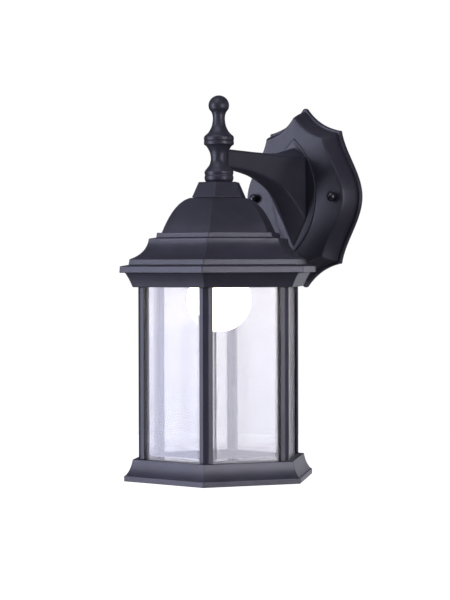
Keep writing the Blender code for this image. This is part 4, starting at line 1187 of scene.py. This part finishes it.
settle(
    "finial_turning", finial_turning(), coat, "finial", "black_powder_coat", "finial",
    at=place_on_axis("finial"), crisp=50,
)
settle(
    "finial_screw", stud(2.5, height_of("finial_stud")), zinc, "finial", "zinc_plate",
    "finial_stud", at=place_on_axis("finial_stud"),
)


# ---------------------------------------------------------------- floor, light and camera
# A pale studio: a white floor well below and white surroundings. Cool softboxes stand left, front
# right, right, behind and overhead, and two narrow beams pick out the base.

FLOOR_DROP = 0.55
AZIMUTH, DISTANCE, EYE = radians(39.04), 1.7315, 0.1792      # about the lantern's axis and foot
YAW, PITCH, ROLL = radians(0.157), radians(1.031), radians(-0.144)

floor_body = bmesh.new()
bmesh.ops.create_circle(floor_body, cap_ends=True, segments=96, radius=7.0)
bmesh.ops.translate(floor_body, vec=(0.0, 0.0, cad_box[0][2] - FLOOR_DROP), verts=floor_body.verts)
floor = workpiece(floor_body, "studio_floor")
floor_paint, floor_start, floor_place = new_finish("floor_paint")
dress(
    floor_paint, floor_start,
    Base_Color=grain(floor_start, floor_place, 6.0).above(0.2, 0.8).blend(
        (0.88, 0.88, 0.89, 1), (0.84, 0.84, 0.85, 1)),
    Roughness=0.7, Emission_Color=(1.0, 1.0, 1.0, 1), Emission_Strength=1.05,
)
floor.data.materials.append(floor_paint)
floor.visible_diffuse = floor.visible_glossy = False

SEEN_WHITE, LIT_GREY = (1.0, 1.0, 1.0, 1), (0.135, 0.13, 0.155, 1)
world = bpy.data.worlds.new("studio")
bpy.context.scene.world = world
world.use_nodes = True
surround = Signal(world.node_tree)
seen = surround.node("LightPath", output="Is Camera Ray") + surround.node(
    "LightPath", output="Is Transmission Ray")
surround.fill(world.node_tree.nodes["Background"], {"Color": seen.blend(LIT_GREY, SEEN_WHITE)})

lantern_middle = Vector((axis.x, axis.y, middle_of("glass_panel_1").z))
to_camera = Vector((sin(AZIMUTH), -cos(AZIMUTH), 0.0))
to_right = Vector((cos(AZIMUTH), sin(AZIMUTH), 0.0))


def softbox(name, right, forward, up, size, power, colour, drop=0.0, spread=180.0):
    """An area light about the lantern's middle, turned to a point this far below it."""
    light = bpy.data.lights.new(name, "AREA")
    light.shape = "RECTANGLE"
    light.size, light.size_y = size
    light.energy = power
    light.color = colour
    light.spread = radians(spread)
    lamp = bpy.data.objects.new(name, light)
    lamp.location = lantern_middle + to_right * right + to_camera * forward + Vector((0, 0, up))
    target = lantern_middle - Vector((0, 0, drop))
    lamp.rotation_euler = (target - lamp.location).to_track_quat("-Z", "Y").to_euler()
    bpy.context.scene.collection.objects.link(lamp)


softbox("key_left", -1.12, 0.42, 0.0, (0.5, 1.3), 14.5, (0.74, 0.76, 1.0))
softbox("front_right", 0.8, 0.85, 0.1, (0.4, 0.8), 6.8, (0.86, 0.85, 1.0))
softbox("base_right", 0.75, 0.8, 0.3, (0.3, 0.3), 0.12, (0.86, 0.85, 1.0),
        drop=0.08, spread=26.0)
softbox("base_left", -1.05, 0.4, 0.3, (0.3, 0.3), 0.06, (0.74, 0.76, 1.0),
        drop=0.08, spread=26.0)
softbox("side_right", 1.1, -0.2, 0.2, (0.4, 0.8), 0.8, (0.86, 0.85, 1.0))
softbox("back_right", 0.6, -0.95, -0.1, (0.25, 0.8), 1.3, (0.90, 0.90, 1.0))
softbox("overhead", -0.35, 0.55, 1.2, (1.0, 0.8), 5.5, (0.82, 0.84, 1.0))

lens = bpy.data.cameras.new("camera")
lens.lens = 124.7
lens.sensor_width = 36.0
lens.sensor_fit = "AUTO"
camera = bpy.data.objects.new("camera", lens)
foot_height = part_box("base_ring")[0].z
camera.location = Vector((axis.x, axis.y, foot_height + EYE)) + to_camera * DISTANCE
camera.rotation_euler = (
    Matrix.Rotation(AZIMUTH - YAW, 3, "Z") @ Matrix.Rotation(pi / 2 - PITCH, 3, "X")
    @ Matrix.Rotation(ROLL, 3, "Z")
).to_euler()
bpy.context.scene.collection.objects.link(camera)
bpy.context.scene.camera = camera
bpy.context.scene.view_settings.view_transform = "Standard"
